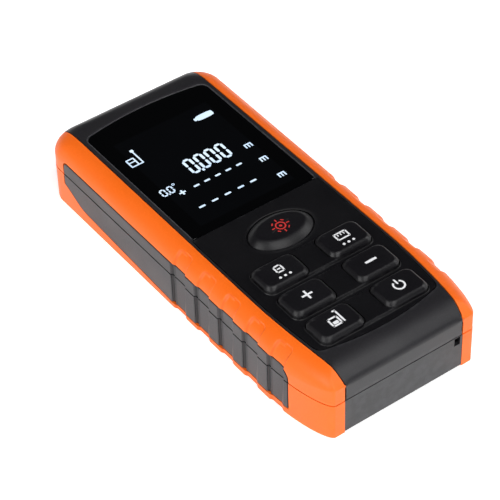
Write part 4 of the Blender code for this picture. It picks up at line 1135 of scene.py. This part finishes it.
BEAD = moulded("window_bead", (0.05, 0.05, 0.055), 0.28, 0.3, 0.003, wear=(0.10, 0.10, 0.11))
WHITE_PRINT = moulded("white_print", (0.90, 0.91, 0.94), 0.5, 0.2, 0.002, tone=0.08)
RED_PRINT = moulded("red_print", (0.62, 0.035, 0.03), 0.5, 0.2, 0.002, tone=0.08)
WINDOW = make_window_material()
DISPLAY = make_display_material()


# ---------------------------------------------------------------- the pieces


def recess_wall_shade(y, z):
    """Painted shade on the narrow wall of each recess, where the relief is between its two levels."""
    part = recess(y, z) / RECESS_DEPTH
    rim = 4 * part * (1 - part)
    return np.where(z > SPLIT_Z, 0.45 * rim**2, 0.35 * rim**2)


def groove_and_rim_shade(y, z):
    """Painted shade on the bottoms of a side panel's grooves, and a narrow painted shadow rim round its
    outline.
    """
    inside = np.minimum(panel_high(y) - z, z - panel_low(y))
    inside = np.minimum(inside, np.minimum(y - PANEL_NEAR_Y, PANEL_FAR_Y - y))
    return np.maximum(0.85 * unit(1 - inside / PANEL_SHADE), 0.9 * (panel_grooves(y) / GROOVE_DEPTH) ** 2)


def both_sides(name, shape, material, mask, edge, stands_for=None):
    """A right piece and its mirror image, each standing for its own frame node."""
    for side, one in (("right", shape), ("left", mirrored(shape))):
        node = f"{stands_for}_{side}" if stands_for else None
        obj = finish_mesh(f"{name}_{side}_surface", one, material, edge=edge, stands_for=node)
        shade_relief(obj, mask)


both_sides("grip_front", grip_front(), ORANGE, recess_wall_shade, 0.22 * MM, "grip_front")
both_sides("grip_back", grip_back(), ORANGE, recess_wall_shade, 0.22 * MM, "grip_back")
both_sides("side_panel_upper", side_panel(True), PANEL, groove_and_rim_shade, 0.14 * MM)
both_sides("side_panel_lower", side_panel(False), PANEL, groove_and_rim_shade, 0.14 * MM)
finish_mesh("face_frame", front_face(), CASE, edge=0.18 * MM, stands_for="front_shell")

# The ledge that carries the mat runs further out than the mat and is pierced by the key stems.
LEDGE_REACH = GAP + 0.6 * MM
LEDGE = pierced_sheet(
    lambda y: mat_side(y, LEDGE_REACH),
    mat_near_path(LEDGE_REACH),
    MAT_FAR_Y + 1.2 * MM,
    cap_hole(0.35 * MM, stem=True),
    lambda x, y: np.full(np.shape(x), FACE_Z - 1.2 * MM),
    FACE_Z - 2.4 * MM,
    rows=4,
)
finish_mesh("keypad_ledge", LEDGE, CASE)

MAT_SHEET = pierced_sheet(
    lambda y: mat_side(y, 0.0),
    mat_near_path(0.0),
    MAT_FAR_Y,
    cap_hole(0.3 * MM),
    mat_height,
    FACE_Z - SHEET,
)
finish_mesh(
    "keypad_mat_surface", MAT_SHEET, MAT, edge=0.1 * MM, stands_for="keypad_mat"
)


def window_shape():
    """The window's outline stacked from its lower edge over a rolled rim to its flat top."""
    rim = 0.32 * MM
    turn = np.linspace(0, QUARTER, 6)
    drawn = chain([0.0], rim * (1 - np.cos(turn)), [1.2 * MM, 4 * MM])
    height = chain([WINDOW_LOW[2]], FACE_Z - rim + rim * np.sin(turn), [FACE_Z, FACE_Z])
    return loft([level(window_loop(-inward, (24, 16, 24)), z) for inward, z in zip(drawn, height)])


def window_bead():
    """A fine bead in the gap round the window: a small circle carried along its outline.

    It sinks out of sight along the near edge, where the window meets the keypad.
    """
    radius = 0.13 * MM
    path = window_loop(GAP * 0.5, (30, 20, 30))
    ahead = np.roll(path, -1, axis=0) - np.roll(path, 1, axis=0)
    outward = join(ahead[:, 1], -ahead[:, 0])
    outward = outward / np.linalg.norm(outward, axis=-1, keepdims=True)
    turn = np.linspace(0, 2 * math.pi, 12, endpoint=False)
    xy = path[:, None] + outward[:, None] * (radius * np.cos(turn))[None, :, None]
    sunk = 0.05 * MM + 0.3 * MM * smooth_step((WINDOW_LOW[1] + 1.5 * MM - path[:, 1]) / MM)
    return closed_grid(level(xy, FACE_Z - sunk[:, None] + radius * np.sin(turn)))


finish_mesh(
    "display_window_surface", window_shape(), WINDOW, stands_for="display_window"
)
finish_mesh("display_window_bead", window_bead(), BEAD)
SEGMENTS = marks(display_marks(), (0.0, 0.0), FACE_Z - 0.02 * MM, FACE_Z + 0.012 * MM)
finish_mesh("display_segments", SEGMENTS, DISPLAY)

ICONS = key_icons()
for name in KEY_NAMES:
    finish_mesh(
        f"{name}_surface", key_shape(name), KEY, body=name, smooth=50, stands_for=name
    )
    sign = marks(ICONS[name], KEYS[name][0][:2], KEY_TOP_Z - 0.06 * MM, KEY_TOP_Z + 0.015 * MM)
    colour = RED_PRINT if name == "key_laser" else WHITE_PRINT
    finish_mesh(f"{name}_sign", sign, colour, body=name)


# ---------------------------------------------------------------- small parts


def circle_rings(profile, sides=72):
    """Circles about +Z for a profile of (radius, height) pairs."""
    turn = np.linspace(0, 2 * math.pi, sides, endpoint=False)
    profile = np.asarray(profile, float)[:, None]
    return join(profile[..., 0] * np.cos(turn), profile[..., 0] * np.sin(turn), profile[..., 1])


def rounded_profile(radius, low, high, edge):
    """A cylinder's profile with rounded rims."""
    turn = np.linspace(0, QUARTER, 6)
    first = join(radius - edge + edge * np.sin(turn), low + edge - edge * np.cos(turn))
    last = join(radius - edge + edge * np.cos(turn), high - edge + edge * np.sin(turn))
    return chain(first, last)


def bezel_shape():
    """The laser end's plate: a flat sheet with two conical openings, joined cell by cell."""
    low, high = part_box("front_bezel")
    near, far = low[1], high[1]
    glass_low, glass_high, glass = box_of("emitter_window")
    receiver_x = box_of("receiver_lens")[2][0]
    cells = (
        (low[0], 0.0, glass[0], (glass_high[0] - glass_low[0]) / 2 + GAP, 1.3 * MM),
        (0.0, high[0], receiver_x, 4.8 * MM, 0.6 * MM),
    )
    count = 26
    shapes = []

    def corners(x0, x1):
        path = np.array([(x0, low[2]), (x1, low[2]), (x1, high[2]), (x0, high[2]), (x0, low[2])])
        return chain(*[np.linspace(a, b, count, endpoint=False) for a, b in zip(path, path[1:])])

    def at(loop, y):
        return join(loop[:, 0], y, loop[:, 1])

    for x0, x1, x, radius, flare in cells:
        outer = corners(x0, x1)
        hole = ellipse_loop(x, glass[2], radius, radius, count, count)
        mouth = ellipse_loop(x, glass[2], radius + flare, radius + flare, count, count)
        plate = between(mouth, outer, np.linspace(0, 1, 8)[:, None, None])
        front = [at(hole, near), at(hole, near + 1.2 * MM), at(mouth, far - 0.15 * MM)]
        shapes.append(tube(front + [at(loop, far) for loop in plate]))
        shapes.append(tube([at(outer, near), at(hole, near)]))
    x = chain(np.linspace(low[0], 0, count, endpoint=False), np.linspace(0, high[0], count + 1))
    z = np.linspace(low[2], high[2], count + 1)
    rim = chain(
        join(x, low[2])[:-1], join(high[0], z)[:-1], join(x[::-1], high[2])[:-1], join(low[0], z[::-1])[:-1]
    )
    shapes.append(tube([at(rim, near), at(rim, far)]))
    return together(shapes)


def cover_shape():
    """Battery cover: a plate whose outer side has a thumb pad of ridges, two tabs and a tongue."""
    low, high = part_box("battery_cover")
    half = high[0]
    far = high[1] - 2.0 * MM
    x, y = np.meshgrid(np.linspace(-half, half, 90), np.linspace(low[1], far, 260))
    pad_y = low[1] + 9.0 * MM
    across = unit(1 - np.abs(x) / (7.5 * MM))
    within = smooth_step(across * 6) * smooth_step((7.0 * MM - np.abs(y - pad_y)) / (0.6 * MM))
    ridge = 0.5 + 0.5 * np.cos((y - pad_y) / (1.4 * MM) * 2 * math.pi)
    lift = 0.35 * MM * within * (1 - 0.85 * smooth_step(ridge * 1.4 - 0.3))
    rim = np.minimum(half - np.abs(x), np.minimum(y - low[1], far - y))
    lift = lift + 0.2 * MM * smooth_step(1 - rim / (0.35 * MM))
    shapes = [slab(join(x, y, lift), join(x, y, 1.6 * MM))]
    tab = (2.0 * MM, 1.1 * MM, 0.4 * MM, 1.2 * MM, 2.0 * MM)
    tongue = (4.0 * MM, 0.5 * MM, 0.25 * MM, 0.8 * MM, high[2])
    tab_y = far + 0.9 * MM
    lugs = ((-7.0 * MM, tab_y, tab), (7.0 * MM, tab_y, tab), (0.0, low[1] + 2.5 * MM, tongue))
    for x0, y0, (half_x, half_y, corner, z0, z1) in lugs:
        loop = rounded_side_loop(x0, y0, half_x, half_y, corner, 8, 6)
        shapes.append(loft([level(loop, z0), level(loop, z1)]))
    return together(shapes)


def screw_shape(name, head_radius, cross_half):
    """A screw with a rounded head below, sunk with a cross for the driver, and a threaded shank."""
    low, high, centre = box_of(name)
    head_top = low[2] + 1.5 * MM
    shank_length = high[2] - head_top
    shank = 0.9 * MM
    turn = np.linspace(0, 2 * math.pi, 96, endpoint=False)
    radius = head_radius * np.sin(np.linspace(0.02, QUARTER, 30))[:, None]
    x = radius * np.cos(turn)
    y = radius * np.sin(turn)
    dome = 0.35 * MM * (radius / head_radius) ** 2.5
    arm = np.minimum(np.abs(x), np.abs(y))
    sunk = smooth_step((0.42 * MM - arm) / (0.16 * MM)) * smooth_step((cross_half - radius) / (0.2 * MM))
    head = join(x, y, low[2] + dome + 0.7 * MM * sunk)
    run = np.linspace(0, 1, 100)
    thread = shank + 0.12 * MM * np.cos(run * shank_length / (0.6 * MM) * 2 * math.pi)
    profile = [(head_radius, head_top - 0.1 * MM), (head_radius - 0.1 * MM, head_top), (shank, head_top)]
    profile += list(zip(thread, head_top + shank_length * run))
    points, faces = loft(chain(head, circle_rings(profile, 96)))
    return points + (centre[0], centre[1], 0.0), faces


def spring_shape(name):
    """A conical helix of round wire: the wire's circle is carried along the helix."""
    low, high, centre = box_of(name)
    wire = 0.3 * MM
    turns = 4.0
    wide = (high[0] - low[0]) / 2 - wire
    run = np.linspace(0, 1, 300)[:, None]
    angle = 2 * math.pi * turns * run
    y = low[1] + wire + (high[1] - low[1] - 2 * wire) * run
    turn = np.linspace(0, 2 * math.pi, 12, endpoint=False)
    reach = between(wide, wide * 0.62, run) + wire * np.cos(turn)
    x = centre[0] + reach * np.cos(angle)
    z = centre[2] + reach * np.sin(angle)
    return loft(join(x, y + wire * np.sin(turn), z))


def cell_shape(name, nub_far):
    """An AAA cell: sleeve with rounded rims and a small round terminal at one end."""
    low, high, centre = box_of(name)
    radius = (high[0] - low[0]) / 2
    length = high[1] - low[1]
    sleeve = length - 1.0 * MM
    nub_radius = 1.9 * MM
    body = rounded_profile(radius, 0.0, sleeve, 0.45 * MM)
    nub = rounded_profile(nub_radius, sleeve, length, 0.25 * MM)[6:]
    points, faces = loft(circle_rings(chain(body, [(3.6 * MM, sleeve), (nub_radius, sleeve)], nub)))
    y = low[1] + points[:, 2] if nub_far else high[1] - points[:, 2]
    return join(centre[0] + points[:, 0], y, centre[2] + points[:, 1]), faces


def lens_shape(name, bulge, thick):
    """A lens seen from the laser end: a rim, a flat back and a domed face towards +Y."""
    low, high, centre = box_of(name)
    radius = (high[0] - low[0]) / 2
    share = np.linspace(1, 0.02, 18)
    profile = [(radius * 0.96, high[1] - thick), (radius, high[1] - thick + 0.1 * MM)]
    profile += list(zip(radius * share, high[1] - bulge + bulge * (1 - share**2)))
    points, faces = loft(circle_rings(profile))
    return join(centre[0] + points[:, 0], points[:, 2], centre[2] + points[:, 1]), faces


# ---------------------------------------------------------------- finishes of the inner parts


def metal(name, colour, roughness, brushed=1.0, scale=900.0):
    """Bare metal: fine streaks along one way, tarnish in soft patches."""
    material, tree, _ = new_material(name)
    streak = noise(tree, scale, 3.0, 0.6, object_place(tree, (1.0, 0.12, 1.0)))
    tarnish = times(tree, use_group(tree, HANDLING, Size=6.0)["Smudge"], 0.5)
    base = mix_colour(tree, tarnish, colour, [c * 0.72 for c in colour])
    rough = stretch(tree, streak, 0.3, 0.7, roughness - 0.06, roughness + 0.1)
    height = times(tree, streak, 0.004 * MM * brushed)
    return dress(material, Base_Color=base, Roughness=rough, height=height, Metallic=1.0)


def make_board_material():
    """Green solder mask over copper tracks, with plated holes on a grid."""
    material, tree, _ = new_material("board_green")
    place = object_place(tree)
    black = (0, 0, 0, 1)
    inputs = {"Vector": place, "Scale": 260.0, "Mortar Size": 0.12, "Color1": black, "Color2": black}
    inputs["Mortar"] = (1, 1, 1, 1)
    track = add_node(tree, "ShaderNodeTexBrick", inputs).outputs["Color"]
    holes = add_node(tree, "ShaderNodeTexVoronoi", {"Vector": place, "Scale": 330.0}).outputs["Distance"]
    plated = stretch(tree, holes, 0.10, 0.16, 1.0, 0.0)
    base = mix_colour(tree, track, (0.006, 0.06, 0.022), (0.012, 0.12, 0.045))
    base = mix_colour(tree, plated, base, (0.62, 0.45, 0.16))
    rough = smudged(tree, 9.0, 0.3, 0.42)
    height = times(tree, track, 0.02 * MM)
    return dress(material, Base_Color=base, Metallic=plated, Roughness=rough, height=height)


def make_cell_material():
    """Printed foil sleeve: dark blue with a copper-coloured third at one end and bare steel ends."""
    material, tree, _ = new_material("cell_sleeve")
    low, high, _ = box_of("battery_cell_left")
    split = add_node(tree, "ShaderNodeSeparateXYZ", {0: object_place(tree)}).outputs
    side = math_node(tree, "GREATER_THAN", split[0], 0.0)
    back = math_node(tree, "SUBTRACT", low[1] + high[1], split[1])
    along = add_node(tree, "ShaderNodeMix", {0: side, 2: split[1], 3: back}).outputs[0]

    def past(y, new_low=0.0, new_high=1.0):
        return stretch(tree, along, y, y + 0.1 * MM, new_low, new_high)

    band = past(high[1] - 14 * MM)
    line = times(tree, past(high[1] - 14.9 * MM), math_node(tree, "SUBTRACT", 1.0, band))
    steel = math_node(tree, "MAXIMUM", past(high[1] - 1.2 * MM), past(low[1] + 0.3 * MM, 1.0, 0.0))
    base = mix_colour(tree, band, (0.012, 0.03, 0.11), (0.48, 0.17, 0.06))
    base = mix_colour(tree, line, base, (0.6, 0.6, 0.62))
    base = mix_colour(tree, steel, base, (0.6, 0.6, 0.58))
    metallic = stretch(tree, steel, 0, 1, 0.55, 1.0)
    return dress(material, Base_Color=base, Metallic=metallic, Roughness=smudged(tree, 9.0, 0.22, 0.34))


def make_lens_material():
    """Coated glass: deep blue-violet that turns greenish at a glancing angle."""
    material, tree, _ = new_material("lens_glass")
    facing = add_node(tree, "ShaderNodeLayerWeight", {"Blend": 0.35}).outputs["Facing"]
    veil = mix_colour(tree, facing, (0.010, 0.012, 0.035), (0.02, 0.07, 0.06))
    dust = stretch(tree, noise(tree, 2600.0, 2.0), 0.70, 0.78, 0.0, 0.25)
    base = mix_colour(tree, dust, veil, (0.3, 0.3, 0.3))
    rough = stretch(tree, dust, 0, 1, 0.03, 0.4)
    return dress(material, Base_Color=base, Roughness=rough, Coat_Weight=1.0, Coat_Roughness=0.02)


def make_ribbon_material():
    """Amber polyimide with fine copper conductors along it."""
    material, tree, _ = new_material("ribbon_amber")
    inputs = {"Vector": object_place(tree), "Scale": 420.0, "Distortion": 0.0}
    line = stretch(tree, add_node(tree, "ShaderNodeTexWave", inputs).outputs["Fac"], 0.45, 0.6)
    base = mix_colour(tree, line, (0.42, 0.16, 0.02), (0.72, 0.36, 0.10))
    return dress(material, Base_Color=base, Roughness=stretch(tree, line, 0, 1, 0.42, 0.28))


SCREW = metal("screw_steel", (0.33, 0.33, 0.34), 0.32)
STEEL = metal("contact_steel", (0.62, 0.61, 0.58), 0.24)
LENS = make_lens_material()
CELL = make_cell_material()
INNER = {
    "case_plastic": CASE,
    "grip_rubber": ORANGE,
    "keypad_rubber": MAT,
    "gloss_window": WINDOW,
    "lcd_glass": moulded("lcd_glass", (0.05, 0.065, 0.055), 0.12, 0.2, 0.001, tone=0.1, Coat_Weight=1.0),
    "light_guide": moulded("light_guide", (0.78, 0.80, 0.80), 0.22, 0.3, 0.004, tone=0.05),
    "moulded_black": moulded("moulded_black", (0.018, 0.018, 0.019), 0.5, 0.25, wear=(0.05, 0.05, 0.05)),
    "ribbon_amber": make_ribbon_material(),
    "board_green": make_board_material(),
    "contact_steel": STEEL,
    "cell_sleeve": CELL,
    "screw_steel": SCREW,
    "laser_brass": metal("laser_brass", (0.72, 0.50, 0.20), 0.27),
    "lens_glass": LENS,
    "cast_metal": metal("cast_metal", (0.36, 0.37, 0.38), 0.5, 4.0, 500.0),
}
for subpart in frame["record"]["subparts"]:
    node_mesh = frame["nodes"][subpart["node"]].data
    node_mesh.materials.clear()
    node_mesh.materials.append(INNER[subpart["material_slot"]])


def place_small(name, shape, material, body="case", edge=None):
    finish_mesh(f"{name}_surface", shape, material, body, 35.0, edge, name)


place_small("front_bezel", bezel_shape(), CASE, edge=0.25 * MM)
place_small("battery_cover", cover_shape(), CASE, body="battery_cover")
for name in ("near_left", "near_right", "far_left", "far_right"):
    screw = f"case_screw_{name}"
    place_small(screw, screw_shape(screw, 1.8 * MM, 1.25 * MM), SCREW)
for side in ("left", "right"):
    cell = f"battery_cell_{side}"
    spring = f"battery_spring_{side}"
    place_small(cell, cell_shape(cell, side == "left"), CELL)
    place_small(spring, spring_shape(spring), STEEL)
place_small("receiver_lens", lens_shape("receiver_lens", 1.0 * MM, 2.0 * MM), LENS)
place_small("emitter_window", lens_shape("emitter_window", 0.05 * MM, 0.6 * MM), LENS)


# ---------------------------------------------------------------- camera, floor and light


def stand(name, data, rows):
    """A camera or light in the scene, placed by the rows of its matrix."""
    obj = bpy.data.objects.new(name, data)
    obj.matrix_world = Matrix([*rows, (0.0, 0.0, 0.0, 1.0)])
    bpy.context.scene.collection.objects.link(obj)
    return obj


camera_data = bpy.data.cameras.new("camera")
camera_data.lens = 158.9
camera_data.sensor_width = 36.0
camera_data.shift_y = 0.0016
camera_data.clip_start = 0.01
CAMERA_ROWS = (
    (0.80431, 0.41848, -0.42185, -0.24044),
    (-0.59377, 0.53866, -0.59774, -0.33715),
    (-0.02291, 0.73125, 0.68173, 0.39157),
)
bpy.context.scene.camera = stand("camera", camera_data, CAMERA_ROWS)


def make_floor():
    """A wide pale floor just under the case, with a soft glow like a lit table."""
    material = new_material("studio_floor")[0]
    dress(material, Base_Color=(0.8, 0.8, 0.8, 1), Roughness=0.9)
    dress(material, Emission_Color=(1, 1, 1, 1), Emission_Strength=0.62)
    x, y = np.meshgrid(np.linspace(-2, 2, 5), np.linspace(-2, 2, 5))
    mesh = bpy.data.meshes.new("studio_floor")
    mesh.from_pydata(join(x, y, -0.2 * MM).reshape(-1, 3).tolist(), [], grid_faces(5, 5))
    mesh.materials.append(material)
    floor = bpy.data.objects.new("studio_floor", mesh)
    bpy.context.scene.collection.objects.link(floor)


def make_light(name, size, energy, position):
    """A square soft light that looks at the meter's middle."""
    data = bpy.data.lights.new(name, "AREA")
    data.shape = "RECTANGLE"
    data.size = data.size_y = size
    data.energy = energy
    back = np.array(position) / np.linalg.norm(position)
    right = np.cross((0.0, 0.0, 1.0), back)
    right = right / np.linalg.norm(right)
    stand(name, data, join(right, np.cross(back, right), back, position).tolist())


def make_world():
    """A pale horizon that fades to a dark ceiling, so that level glossy faces stay dark."""
    world = bpy.data.worlds.new("studio")
    bpy.context.scene.world = world
    world.use_nodes = True
    tree = world.node_tree
    place = tree.nodes.new("ShaderNodeTexCoord").outputs["Generated"]
    height = add_node(tree, "ShaderNodeSeparateXYZ", {0: place}).outputs[2]
    background = tree.nodes["Background"].inputs
    put(tree, background["Strength"], stretch(tree, height, 0.03, 0.30, 1.0, 0.02))
    background["Color"].default_value = (1, 1, 1, 1)


make_floor()
make_world()
make_light("overhead", 0.8, 9.3, (0.0, -0.72, 0.98))
make_light("left", 0.7, 7.2, (-0.9, -0.1, 0.75))
make_light("right", 0.6, 4.0, (0.95, -0.35, 0.6))

bpy.context.scene.view_settings.view_transform = "Standard"
